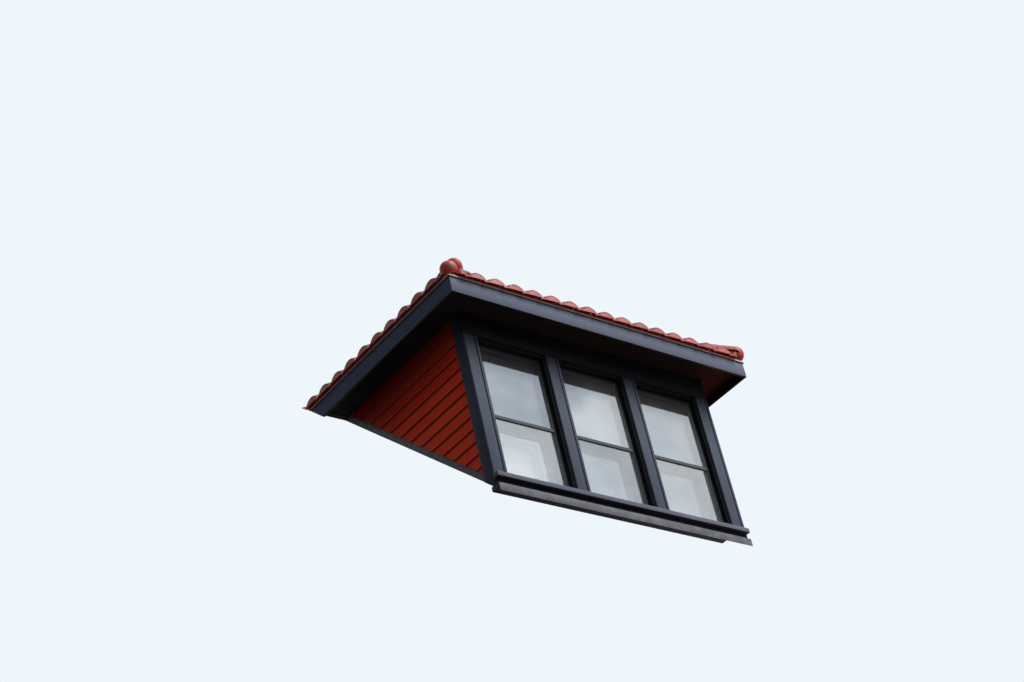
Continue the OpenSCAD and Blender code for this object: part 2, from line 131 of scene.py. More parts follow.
class Value:
    """A shader socket that takes part in arithmetic."""

    def __init__(self, nodes: "Nodes", socket: bpy.types.NodeSocket) -> None:
        """Wrap one output socket of a tree's node."""
        self.nodes = nodes
        self.socket = socket

    def __add__(self, other: "Value | float") -> "Value":
        """Add a value or a number."""
        return self.nodes.maths("ADD", self, other)

    __radd__ = __add__

    def __sub__(self, other: "Value | float") -> "Value":
        """Take a value or a number away."""
        return self.nodes.maths("SUBTRACT", self, other)

    def __rsub__(self, other: "Value | float") -> "Value":
        """Take this value away from a number."""
        return self.nodes.maths("SUBTRACT", other, self)

    def __mul__(self, other: "Value | float") -> "Value":
        """Multiply by a value or a number."""
        return self.nodes.maths("MULTIPLY", self, other)

    __rmul__ = __mul__

    def __truediv__(self, other: "Value | float") -> "Value":
        """Divide by a value or a number."""
        return self.nodes.maths("DIVIDE", self, other)

    def between(self, low: float, high: float) -> "Value":
        """Ease this value from 0 at low to 1 at high."""
        return self.nodes.value(
            "Result", "ShaderNodeMapRange", {"interpolation_type": "SMOOTHSTEP"},
            {"Value": self, "From Min": low, "From Max": high},
        )


class Nodes:
    """The nodes of one tree, of a material or of the world."""

    def __init__(self, tree: bpy.types.NodeTree) -> None:
        """Start on a tree, emptied."""
        self.tree = tree
        self.tree.nodes.clear()

    def node(
        self, kind: str, settings: dict | None = None, inputs: dict | None = None
    ) -> bpy.types.Node:
        """Add a node.

        Args:
            kind: The node's type.
            settings: Its settings, where stops are a ramp's places and colours.
            inputs: The values or links of its sockets.

        Returns:
            The node.
        """
        made = self.tree.nodes.new(kind)
        for name, value in (settings or {}).items():
            if name == "stops":
                self._set_stops(made.color_ramp, value)
            else:
                setattr(made, name, value)
        for name, value in (inputs or {}).items():
            source = value.socket if isinstance(value, Value) else value
            if isinstance(source, bpy.types.NodeSocket):
                self.tree.links.new(source, made.inputs[name])
            else:
                made.inputs[name].default_value = source
        return made

    @staticmethod
    def _set_stops(ramp: bpy.types.ColorRamp, stops: Sequence[tuple[float, Colour]]) -> None:
        """Give a ramp its stops.

        Args:
            ramp: The ramp.
            stops: Their places and colours.
        """
        while len(ramp.elements) < len(stops):
            ramp.elements.new(0.5)
        for element, (place, colour) in zip(ramp.elements, stops):
            element.position = place
            element.color = colour

    def value(
        self, output: str | int, kind: str, settings: dict | None = None,
        inputs: dict | None = None,
    ) -> Value:
        """Add a node and take one of its outputs as a value."""
        return Value(self, self.node(kind, settings, inputs).outputs[output])

    def maths(self, operation: str, *operands: "Value | float | bpy.types.NodeSocket") -> Value:
        """Add a Math node on these operands."""
        return self.value(
            0, "ShaderNodeMath", {"operation": operation}, dict(enumerate(operands))
        )


class Shader(Nodes):
    """The nodes of one material."""

    def __init__(self, name: str) -> None:
        """Start an empty material.

        Args:
            name: The material's name.
        """
        self.material = bpy.data.materials.new(name)
        self.material.use_nodes = True
        super().__init__(self.material.node_tree)
        self.place = self.node("ShaderNodeTexCoord").outputs["Object"]

    def noise(
        self, scale: float, detail: float = 3.0, stretch: Sequence[float] = (1, 1, 1)
    ) -> Value:
        """Soft noise from 0 to 1.

        Args:
            scale: How many blotches a metre holds.
            detail: How many finer layers it has.
            stretch: How the axes are scaled, so that it follows a grain.

        Returns:
            The noise, as a value.
        """
        stretched = self.node(
            "ShaderNodeVectorMath", {"operation": "MULTIPLY"}, {0: self.place, 1: tuple(stretch)}
        )
        return self.value(
            0, "ShaderNodeTexNoise", {},
            {"Vector": stretched.outputs[0], "Scale": scale, "Detail": detail},
        )

    def near(self, point: Sequence[float], reach: float) -> Value:
        """How near the surface is to a point: 1 at the point, 0 beyond the reach."""
        away = self.value(
            "Value", "ShaderNodeVectorMath", {"operation": "DISTANCE"},
            {0: self.place, 1: tuple(point)},
        )
        return (1.0 - away / reach).between(0.0, 1.0)

    def height(self, axis: str = "Z") -> Value:
        """The place along one axis, in metres."""
        return self.value(axis, "ShaderNodeSeparateXYZ", {}, {0: self.place})

    def attribute(self, name: str) -> Value:
        """A number that the mesh holds for each face."""
        return self.value("Fac", "ShaderNodeAttribute", {"attribute_name": name})

    def upward(self) -> Value:
        """How far the surface faces up, from -1 to 1."""
        normal = self.node("ShaderNodeNewGeometry").outputs["Normal"]
        return self.value("Z", "ShaderNodeSeparateXYZ", {}, {0: normal})

    def mix(
        self, share: Value | float, first: object, second: object
    ) -> bpy.types.NodeSocket:
        """Mix two colours.

        Args:
            share: How much of the second colour shows.
            first: A colour or a socket.
            second: A colour or a socket.

        Returns:
            The mixed colour's socket.
        """
        made = self.node(
            "ShaderNodeMix",
            {"data_type": "RGBA", "clamp_factor": True},
            {0: share, 6: first, 7: second},
        )
        return made.outputs[2]

    def bump(self, rise: Value, depth: float, strength: float = 1.0) -> bpy.types.NodeSocket:
        """Turn a value into relief.

        Args:
            rise: The relief, from 0 to 1.
            depth: Its height in metres.
            strength: How much of it shows.

        Returns:
            The Normal socket of the Bump node.
        """
        inputs = {"Height": rise, "Distance": depth, "Strength": strength}
        return self.node("ShaderNodeBump", {}, inputs).outputs["Normal"]

    def close(self, **inputs: object) -> bpy.types.Material:
        """Add the surface shader and the output.

        Args:
            inputs: Values or links of the surface's sockets, with _ for a space.

        Returns:
            The finished material.
        """
        named = {name.replace("_", " "): value for name, value in inputs.items()}
        surface = self.node("ShaderNodeBsdfPrincipled", {}, named)
        self.node("ShaderNodeOutputMaterial", {}, {"Surface": surface.outputs[0]})
        return self.material


@dataclass(frozen=True)
class Finish:
    """What every finish has: a name, and the record's slot that it belongs to."""

    name: str
    slot: str

    def build(self) -> bpy.types.Material:
        """Make the material."""
        raise NotImplementedError

    def material(self) -> bpy.types.Material:
        """The material, made at its first use."""
        return bpy.data.materials.get(self.name) or self.build()


@dataclass(frozen=True)
class PaintedWood(Finish):
    """Satin paint over wood: brush marks, chalking, a dark back, painted shade under the eaves and
    painted shade on the faces that look down.
    """

    colour: Colour
    chalk: Colour
    way: Way
    wear: float = 0.35
    gloss: float = 0.45
    shine: float = 0.04
    back: Colour = paint(34, 26, 24)
    # Colour of the painted shade under the eaves
    soot_and_shade: Colour = paint(12, 12, 12)
    underside_shade: Colour = paint(14, 13, 14)
    # Share of the painted shade under the eaves
    painted_shade: float = 0.65
    eaves: tuple[float, float] = (0.95, 1.75)

    def build(self) -> bpy.types.Material:
        """Make the material.

        Returns:
            The material, as this finish describes it.
        """
        shader = Shader(self.name)
        brushed = shader.noise(160, 4, self.way.value)
        blotches = shader.noise(2.2, 4)
        streaks = shader.noise(14, 3, self.way.value)
        faded = (blotches * 0.6 + streaks * 0.4).between(0.42, 0.72) * self.wear
        coat = shader.mix(faded, self.colour, self.chalk)
        dust = (shader.upward() * blotches).between(0.25, 0.75) * 0.35
        grime = tuple(0.75 * share for share in self.chalk[:3]) + (1.0,)
        dusty = shader.mix(dust, coat, grime)
        # Painted shade: the surface darkens towards the eaves, where the deep overhang shades it
        eave_shadow = shader.height().between(*self.eaves) * self.painted_shade
        with_eave_shadow = shader.mix(eave_shadow, dusty, self.soot_and_shade)
        # Painted shade: faces that look down turn dark
        below = (0.0 - shader.upward()).between(0.4, 0.8) * 0.8
        with_underside_shade = shader.mix(below, with_eave_shadow, self.underside_shade)
        # The dark back colour on fascia faces marked by mark_back; on the faces that look down it
        # is painted shade
        outside = shader.attribute("shade").between(0.1, 0.3)
        return shader.close(
            Base_Color=shader.mix(outside, self.back, with_underside_shade),
            Roughness=self.gloss + blotches * 0.2,
            Specular_IOR_Level=self.shine,
            Normal=shader.bump(brushed * 0.6 + streaks * 0.4, 0.0012, 0.5),
        )


@dataclass(frozen=True)
class SoffitPaint(Finish):
    """Dark paint on narrow boards, which stands in for part of the shade under the overhang, with a
    painted warm reddish bounce light towards the right-hand end.
    """

    colour: Colour
    dust: Colour
    # Colour of the painted reddish bounce light
    brown: Colour
    bounce_x: tuple[float, float] = (1.05, 1.75)

    def build(self) -> bpy.types.Material:
        """Make the material.

        Returns:
            The material, as this finish describes it.
        """
        shader = Shader(self.name)
        grain = shader.noise(70, 4, Way.ALONG_X.value)
        blotches = shader.noise(2.4, 4)
        tone = (blotches * 0.6 + shader.attribute("shade") * 0.4).between(0.35, 0.7)
        coat = shader.mix(tone, self.colour, self.dust)
        # Painted light: a reddish bounce, broken by the grain, grows towards the right-hand end
        wear_and_bounce = shader.height("X").between(*self.bounce_x) * (grain + 0.4)
        return shader.close(
            Base_Color=shader.mix(wear_and_bounce, coat, self.brown),
            Roughness=0.6 + blotches * 0.2,
            Specular_IOR_Level=0.03,
            Normal=shader.bump(grain, 0.001, 0.5),
        )


@dataclass(frozen=True)
class Clapboard(Finish):
    """Weathered red paint on sawn boards, each with its own tone, and painted shade under the laps,
    near the soffit and on the faces that look down.
    """

    colour: Colour
    faded: Colour
    bare: Colour
    # Colour of the painted shade
    soot_and_shade: Colour = paint(34, 8, 5)

    def build(self) -> bpy.types.Material:
        """Make the material.

        Returns:
            The material, as this finish describes it.
        """
        shader = Shader(self.name)
        grain = shader.noise(120, 5, Way.ALONG_Y.value)
        streaks = shader.noise(9, 4, Way.ALONG_Y.value)
        blotches = shader.noise(1.7, 4)
        shade = shader.attribute("shade")
        tone = (blotches * 0.45 + streaks * 0.25 + shade * 0.3).between(0.3, 0.7)
        coat = shader.mix(tone, self.colour, self.faded)
        wear_and_bounce = (grain * streaks).between(0.36, 0.5) * 0.3
        faded = shader.mix(wear_and_bounce, coat, self.bare)
        place = (shader.height() - FIRST_LAP) / BOARD_STEP
        within = place - shader.maths("FLOOR", place)
        # Painted shade: each board darkens at its top, under the lap of the board above
        painted_shade = within.between(0.74, 0.95) * 0.68
        # Painted shade: darker near the soffit and further back, where the eave and the roof shade
        # the cheek
        eaves = (shader.height() + shader.height("Y") * 0.12).between(1.15, 1.85) * 0.75
        # Painted shade on the faces that look down
        below = (0.0 - shader.upward()).between(0.4, 0.8)
        painted_shade_mask = shader.maths("MAXIMUM", shader.maths("MAXIMUM", painted_shade, eaves), below)
        return shader.close(
            Base_Color=shader.mix(painted_shade_mask, faded, self.soot_and_shade),
            Roughness=0.5 + streaks * 0.25,
            Specular_IOR_Level=0.1,
            Normal=shader.bump(grain, 0.0015, 0.6),
        )


@dataclass(frozen=True)
class FiredClay(Finish):
    """Fired clay, each tile in its own tone: pale efflorescence with painted sheen on top, sooty
    patches, and painted shade as a deeper red on upright and hanging faces.
    """

    dark: Colour
    middle: Colour
    light: Colour
    bloom_and_sheen: Colour
    soot_and_shade: Colour
    shaded_red: Colour = paint(172, 44, 36)
    bloom_and_sheen_share: float = 0.55
    moss_at: tuple[float, float, float] | None = None
    moss: Colour = paint(113, 82, 44)

    def build(self) -> bpy.types.Material:
        """Make the material.

        Returns:
            The material, as this finish describes it.
        """
        shader = Shader(self.name)
        specks = shader.noise(220, 3)
        patches = shader.noise(9, 4)
        wide = shader.noise(1.4, 3)
        shade = shader.attribute("shade") * 0.7 + patches * 0.3
        stops = [(0.15, self.dark), (0.5, self.middle), (0.85, self.light)]
        body = shader.node("ShaderNodeValToRGB", {"stops": stops}, {0: shade}).outputs[0]
        speckled = shader.mix(specks.between(0.62, 0.74) * 0.5, body, self.dark)
        # Pale on the faces that look up: partly the clay's pale efflorescence, partly a painted
        # sheen of the sky
        raised = shader.upward().between(0.25, 0.95)
        top_bloom_and_sheen = (raised * patches.between(0.28, 0.72)) * self.bloom_and_sheen_share
        with_bloom_and_sheen = shader.mix(top_bloom_and_sheen, speckled, self.bloom_and_sheen)
        grimy = (patches * 0.5 + wide * 0.5).between(0.52, 0.66) * 0.55
        stained = shader.mix(grimy, with_bloom_and_sheen, self.soot_and_shade)
        # Painted shade: upright and hanging faces turn a deeper red
        hanging_shade = (0.3 - shader.upward()).between(0.0, 0.8) * 0.8
        colour = shader.mix(hanging_shade, stained, self.shaded_red)
        if self.moss_at:
            grown = (shader.near(self.moss_at, 0.06) * (patches + 0.6)).between(0.2, 0.8) * 0.8
            colour = shader.mix(grown, colour, self.moss)
        return shader.close(
            Base_Color=colour,
            Roughness=0.38 + patches * 0.3,
            Specular_IOR_Level=0.42,
            Normal=shader.bump(specks * 0.5 + patches * 0.5, 0.002, 0.5),
        )


@dataclass(frozen=True)
class Mortar(Finish):
    """Sandy bedding mortar with stains."""

    colour: Colour
    stain: Colour

    def build(self) -> bpy.types.Material:
        """Make the material.

        Returns:
            The material, as this finish describes it.
        """
        shader = Shader(self.name)
        sand = shader.noise(320, 4)
        patches = shader.noise(18, 4)
        return shader.close(
            Base_Color=shader.mix(patches.between(0.4, 0.65), self.colour, self.stain),
            Roughness=0.85 + sand * 0.1,
            Normal=shader.bump(sand * 0.6 + patches * 0.4, 0.004, 0.9),
        )


@dataclass(frozen=True)
class BareWood(Finish):
    """Sawn softwood, gone grey and brown in the roof, painted on the boards' edge at the eave."""

    pale: Colour
    dark: Colour
    way: Way
    edge: Colour = paint(200, 170, 160)
    edge_z: float = -10.0

    def build(self) -> bpy.types.Material:
        """Make the material.

        Returns:
            The material, as this finish describes it.
        """
        shader = Shader(self.name)
        rings = shader.noise(26, 6, self.way.value)
        fibres = shader.noise(180, 3, self.way.value)
        old = shader.noise(2.5, 3)
        tone = (rings * 0.6 + fibres * 0.15 + old * 0.25).between(0.38, 0.62)
        wood = shader.mix(tone, self.pale, self.dark)
        inside = shader.height().between(self.edge_z, self.edge_z + 0.002)
        return shader.close(
            Base_Color=shader.mix(inside, self.edge, wood),
            Roughness=0.7 + fibres * 0.15,
            Specular_IOR_Level=0.1,
            Normal=shader.bump(fibres * 0.7 + rings * 0.3, 0.0015, 0.7),
        )


@dataclass(frozen=True)
class Lining(Finish):
    """Painted plaster lining, with trowel marks, and raw timber in front of the room's face."""

    colour: Colour
    shadow: Colour
    timber: Colour
    room_y: float = -10.0

    def build(self) -> bpy.types.Material:
        """Make the material.

        Returns:
            The material, as this finish describes it.
        """
        shader = Shader(self.name)
        trowel = shader.noise(7, 5)
        fine = shader.noise(90, 3)
        plaster = shader.mix(trowel.between(0.4, 0.7) * 0.5, self.colour, self.shadow)
        inside = shader.height("Y").between(self.room_y - 0.004, self.room_y - 0.001)
        return shader.close(
            Base_Color=shader.mix(inside, self.timber, plaster),
            Roughness=0.75 + fine * 0.15,
            Normal=shader.bump(trowel * 0.7 + fine * 0.3, 0.002, 0.5),
        )


@dataclass(frozen=True)
class SheetMetal(Finish):
    """Dull weathered sheet with pale oxide patches."""

    colour: Colour
    oxide: Colour

    def build(self) -> bpy.types.Material:
        """Make the material.

        Returns:
            The material, as this finish describes it.
        """
        shader = Shader(self.name)
        patches = shader.noise(11, 5)
        dents = shader.noise(5, 2)
        return shader.close(
            Base_Color=shader.mix(patches.between(0.45, 0.65), self.colour, self.oxide),
            Metallic=0.3 - patches * 0.2,
            Roughness=0.55 + patches * 0.25,
            Specular_IOR_Level=0.2,
            Normal=shader.bump(dents, 0.006, 0.5),
        )


@dataclass(frozen=True)
class MirrorGlass(Finish):
    """Dusty window glass that mirrors a brightly lit sky, slightly wavy, with a painted reflection:
    a cloud pattern, a tone for each pane and a duller patch.
    """

    bright_reflection: Colour
    dull: Colour
    cover: float
    hazy_z: float = 10.0
    dull_reflection_at: tuple[float, float, float] = (-0.34, 0.08, 1.42)

    def build(self) -> bpy.types.Material:
        """Make the material.

        Returns:
            The material, as this finish describes it.
        """
        shader = Shader(self.name)
        cloud_reflection = shader.noise(2.4, 3, (1, 1, 1.4))
        ripple = shader.noise(3.5, 1)
        # Painted reflection: a cloud pattern, each pane's tone and a duller patch set the mirror's
        # tint
        painted_reflection = shader.attribute("shade") + (cloud_reflection - 0.5) * 0.8
        tone = painted_reflection - shader.near(self.dull_reflection_at, 0.45) * 0.9
        haze = shader.height().between(self.hazy_z, self.hazy_z + 0.01)
        return shader.close(
            Base_Color=shader.mix(tone, self.dull, self.bright_reflection),
            Metallic=0.88,
            Roughness=0.03 + haze * 0.06,
            Alpha=self.cover,
            Normal=shader.bump(ripple, 0.002, 0.25),
        )


OLD_WOOD = (paint(84, 58, 46), paint(52, 34, 28))
PLASTER = (paint(214, 210, 200), paint(186, 180, 168))


class Finishes:
    """All finishes of the dormer."""

    slate_x = PaintedWood(
        "slate paint on rails", "slate_paint", paint(98, 101, 116), paint(122, 124, 140),
        Way.ALONG_X,
    )
    slate_y = PaintedWood(
        "slate paint on side boards", "slate_paint", paint(86, 95, 120), paint(110, 118, 140),
        Way.ALONG_Y, painted_shade=0.0,
    )
    slate_z = PaintedWood(
        "slate paint on posts", "slate_paint", paint(81, 87, 101), paint(96, 102, 116), Way.ALONG_Z
    )
    # A darker copy of the slate paint: painted shade on the corner boards under the eaves
    corner_z = PaintedWood(
        "slate paint on the corners", "slate_paint", paint(62, 67, 82), paint(74, 79, 92),
        Way.ALONG_Z, painted_shade=0.55,
    )
    storm_grey = PaintedWood(
        "grey paint on the storm windows", "slate_paint", paint(88, 93, 97), paint(100, 104, 108),
        Way.ALONG_Z, painted_shade=0.9,
    )
    fascia_x = PaintedWood(
        "slate paint on the front fascia", "slate_paint", paint(105, 113, 129),
        paint(117, 124, 139), Way.ALONG_X, painted_shade=0.0,
    )
    # Darker than the slate paint of the posts: painted shade of the deep eave on the frieze
    charcoal_x = PaintedWood(
        "dark paint as painted shade on rails", "charcoal_paint", paint(30, 31, 36), paint(52, 54, 60),
        Way.ALONG_X, gloss=0.5, shine=0.03,
    )
    charcoal_z = PaintedWood(
        "charcoal paint on uprights", "charcoal_paint", paint(18, 19, 21), paint(30, 31, 34),
        Way.ALONG_Z, gloss=0.5, shine=0.03,
    )
    sand_x = PaintedWood(
        "sand paint", "sand_paint", paint(206, 176, 166), paint(224, 198, 186), Way.ALONG_X,
        painted_shade=0.0,
    )
    # Near-black paint that stands in for part of the shade under the overhang, with painted bounce
    # light at the right-hand end
    soffit = SoffitPaint(
        "dark paint on the soffit", "charcoal_paint", paint(27, 26, 24), paint(40, 36, 32),
        paint(72, 39, 27),
    )
    red_boards = Clapboard(
        "weathered red paint", "vermilion_paint",
        paint(232, 56, 24), paint(246, 72, 34), paint(140, 46, 30),
    )
    clay = FiredClay(
        "fired clay", "terracotta",
        paint(132, 43, 39), paint(154, 58, 51), paint(170, 74, 65),
        paint(208, 148, 144), paint(84, 32, 28),
    )
    cap_clay = FiredClay(
        "fired clay of the caps", "terracotta",
        paint(138, 45, 39), paint(165, 64, 59), paint(180, 82, 76),
        paint(208, 144, 142), paint(104, 58, 42), paint(186, 44, 36), 0.5,
        (-1.735, -0.353, 1.966),
    )
    mortar = Mortar("bedding mortar", "terracotta", paint(196, 136, 122), paint(146, 96, 76))
    crumbled = Mortar("crumbled mortar", "terracotta", paint(156, 90, 66), paint(100, 44, 30))
    bare_y = BareWood(
        "sawn wood going back", "bare_wood", paint(178, 146, 108), paint(116, 86, 58), Way.ALONG_Y
    )
    old_wood = BareWood("weathered wood", "bare_wood", *OLD_WOOD, Way.ALONG_X)
    deck_wood = BareWood(
        "weathered roof boards", "bare_wood", *OLD_WOOD, Way.ALONG_X, edge_z=1.932
    )
    lining = Lining("painted lining", "plaster", *PLASTER, paint(58, 52, 48))
    post_lining = Lining(
        "painted lining of the posts", "plaster", *PLASTER, paint(30, 29, 30), 0.2
    )
    sheet = SheetMetal("weathered sheet", "lead", paint(84, 86, 90), paint(104, 106, 110))
    # Light and dark colours of the painted reflection in the glass
    storm_glass = MirrorGlass(
        "storm window glass", "glass", paint(251, 252, 252), paint(196, 205, 214), 0.35
    )
    sash_glass = MirrorGlass(
        "sash glass", "glass", paint(250, 251, 250), paint(150, 160, 170), 0.92, 0.81
    )


class Shape:
    """A mesh under construction."""

    def __init__(self, copied: bpy.types.Object | None = None) -> None:
        """Start empty, or from the merged mesh of a node.

        Args:
            copied: The node whose mesh is copied.
        """
        self.bm = bmesh.new()
        if copied:
            self.bm.from_mesh(copied.data)
            bmesh.ops.remove_doubles(self.bm, verts=self.bm.verts, dist=1e-5)
            bmesh.ops.dissolve_limit(
                self.bm, angle_limit=math.radians(0.5), verts=self.bm.verts, edges=self.bm.edges
            )
        self.shade = self.bm.faces.layers.float.new("shade")

    def box(self, low: Vector, high: Vector) -> None:
        """Add a box between its lowest and its highest corner."""
        place = Matrix.Translation((low + high) / 2) @ Matrix.Diagonal((*(high - low), 1))
        bmesh.ops.create_cube(self.bm, size=1, matrix=place)

    def lump(
        self, place: Matrix, radius: float, splits: int, rough: float, rng: random.Random
    ) -> None:
        """Add a rough ball.

        Args:
            place: Its axes.
            radius: Its radius.
            splits: How finely its faces are split.
            rough: How far its points stray.
            rng: The source of its roughness.
        """
        made = bmesh.ops.create_icosphere(
            self.bm, subdivisions=splits, radius=radius, matrix=place
        )
        for vert in made["verts"]:
            vert.co += Vector([rng.uniform(-rough, rough) for _ in range(3)])

    def add(self, other: bpy.types.Mesh, place: Matrix, shade: float | None = 0.5) -> None:
        """Add a copy of a small mesh.

        Args:
            other: The mesh.
            place: Where its copy goes.
            shade: The number that its faces get, or None where they keep their own.
        """
        verts, faces = len(self.bm.verts), len(self.bm.faces)
        self.bm.from_mesh(other)
        self.bm.verts.ensure_lookup_table()
        self.bm.faces.ensure_lookup_table()
        bmesh.ops.transform(self.bm, matrix=place, verts=self.bm.verts[verts:])
        if shade is not None:
            for face in self.bm.faces[faces:]:
                face[self.shade] = shade

    def tint(self, shade: float) -> None:
        """Give every face the same number."""
        for face in self.bm.faces:
            face[self.shade] = shade

    @staticmethod
    def verts_of(parts: Iterable[object]) -> list[bmesh.types.BMVert]:
        """The vertices among the parts that an operator made."""
        return [part for part in parts if isinstance(part, bmesh.types.BMVert)]

    def sweep(
        self, edges: Sequence[bmesh.types.BMEdge], step: Sequence[float] = (0, 0, 0)
    ) -> tuple[list[bmesh.types.BMVert], list[bmesh.types.BMEdge]]:
        """Extrude edges.

        Args:
            edges: The edges.
            step: How far they go.

        Returns:
            The vertices and the edges of the new rim.
        """
        grown = bmesh.ops.extrude_edge_only(self.bm, edges=edges)["geom"]
        moved = self.verts_of(grown)
        bmesh.ops.translate(self.bm, vec=step, verts=moved)
        rim = [
            part for part in grown
            if isinstance(part, bmesh.types.BMEdge) and all(vert in moved for vert in part.verts)
        ]
        return moved, rim

    def thicken(self, thickness: float) -> None:
        """Turn the faces outwards and give the surface its thickness.

        Args:
            thickness: How far the wall reaches in.
        """
        bmesh.ops.recalc_face_normals(self.bm, faces=self.bm.faces)
        if sum(face.normal.dot(face.calc_center_median()) for face in self.bm.faces) < 0:
            bmesh.ops.reverse_faces(self.bm, faces=self.bm.faces)
        bmesh.ops.solidify(self.bm, geom=self.bm.faces, thickness=thickness)
        bmesh.ops.recalc_face_normals(self.bm, faces=self.bm.faces)

    def cut(self, point: Sequence[float], outward: Sequence[float]) -> None:
        """Cut away what lies beyond a plane, and close the cut.

        Args:
            point: A point on the plane.
            outward: The way that is cut away.
        """
        everything = [*self.bm.verts, *self.bm.edges, *self.bm.faces]
        done = bmesh.ops.bisect_plane(
            self.bm, geom=everything, dist=1e-6, plane_co=Vector(point),
            plane_no=Vector(outward), clear_outer=True,
        )
        rim = [part for part in done["geom_cut"] if isinstance(part, bmesh.types.BMEdge)]
        open_rim = [edge for edge in rim if edge.is_boundary]
        if open_rim:
            bmesh.ops.edgeloop_fill(self.bm, edges=open_rim)

    def cut_at_roof(self) -> None:
        """Cut away what lies under the roof below, which rises at 45 degrees."""
        self.cut((0, 0, 0), (0, 1, -1))

    def bevel_edges(
        self, edges: Iterable[bmesh.types.BMEdge], width: float, segments: int
    ) -> None:
        """Round these edges to a width, in a number of faces across."""
        bmesh.ops.bevel(
            self.bm, geom=list(edges), offset=width, offset_type="OFFSET", segments=segments,
            profile=0.5, affect="EDGES", clamp_overlap=True, material=-1,
        )

    def bevel(self, width: float, segments: int = 2, angle: float = 28) -> None:
        """Round the sharp edges.

        Args:
            width: The width of the rounding in metres.
            segments: How many faces it has across.
            angle: The least angle in degrees of an edge that is rounded.
        """
        least = math.radians(angle)
        sharp = [
            edge for edge in self.bm.edges
            if len(edge.link_faces) == 2 and edge.calc_face_angle(0) > least
        ]
        self.bevel_edges(sharp, width, segments)

    def mesh(self, name: str, smooth: float | None = 40) -> bpy.types.Mesh:
        """Close the work and hand over the mesh.

        Args:
            name: The mesh's name.
            smooth: The greatest angle in degrees that is shaded smooth, or None for flat.

        Returns:
            The mesh.
        """
        made = bpy.data.meshes.new(name)
        self.bm.to_mesh(made)
        self.bm.free()
        if smooth is not None:
            made.shade_smooth()
            made.set_sharp_from_angle(angle=math.radians(smooth))
        return made

    def piece(
        self, name: str, finish: Finish, replaced: Iterable[str] = (), smooth: float | None = 40
    ) -> None:
        """Make the piece, dress it and fasten it.

        Args:
            name: The piece's name.
            finish: Its finish.
            replaced: The nodes that it stands for.
            smooth: The greatest angle in degrees that is shaded smooth.
        """
        made = linked(name, self.mesh(name, smooth))
        made.data.materials.append(finish.material())
        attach(made, "root")
        nodes = tuple(replaced)
        if nodes:
            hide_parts(*nodes)
        log.info("%s: %d faces", name, len(made.data.polygons))


@dataclass
class Frame:
    """Sizes of the roof, in metres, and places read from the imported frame."""

    pitch: float = math.radians(30)
    deck_t: float = 0.020
    tile_t: float = 0.060
    hollow_t: float = 0.016
    tile_pitch: float = 0.2105
    hill_r: float = 0.109
    front_hill_shift: float = 0.012
    side_hill_shift: float = 0.073
    tile_lip: float = 0.052
    cap_r: float = 0.100
    cap_sink: float = 0.010
    starter_r: float = 0.0835
    starter_sink: float = 0.038
    starter_in: float = 0.030

    def __post_init__(self) -> None:
        """Read the boxes of the nodes that the looks line up with."""
        fascia_low, fascia_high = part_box("front_fascia")
        self.eave_x = fascia_high.x
        self.eave_y = fascia_low.y
        self.eave_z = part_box("eave_strips")[1].z
        self.ridge_y = self.eave_y + self.eave_x
        self.ridge_z = self.eave_z + self.eave_x * math.tan(self.pitch)
        self.cap_lift = (self.deck_t + self.tile_t) / math.cos(self.pitch)
        self.hip_pitch = math.atan(math.tan(self.pitch) / math.sqrt(2))

    def slope(self, side: Side) -> Matrix:
        """The axes of one slope.

        Args:
            side: The slope.

        Returns:
            A matrix whose X runs along the eave, Y up the slope and Z out of it, from the
            middle of the eave on the rafters' top.
        """
        turn = Matrix.Rotation(side.value * math.pi / 2, 4, "Z")
        rise = Matrix.Rotation(self.pitch, 4, "X")
        foot = Vector((0, -self.eave_x, 0))
        centre = Matrix.Translation((0, self.ridge_y, self.eave_z))
        return centre @ turn @ Matrix.Translation(foot) @ rise

    def hip(self, side: Side) -> Matrix:
        """The axes of one hip.

        Args:
            side: Left or right.

        Returns:
            A matrix whose X runs up the hip's plan and Z up, from the hip's foot on the line
            where the tile layers meet.
        """
        foot = Vector((
            side.value * (self.eave_x - self.starter_in),
            self.eave_y + self.starter_in,
            self.eave_z + self.starter_in * math.tan(self.pitch) + self.cap_lift,
        ))
        turn = math.radians(90 + side.value * 45)
        return Matrix.Translation(foot) @ Matrix.Rotation(turn, 4, "Z")


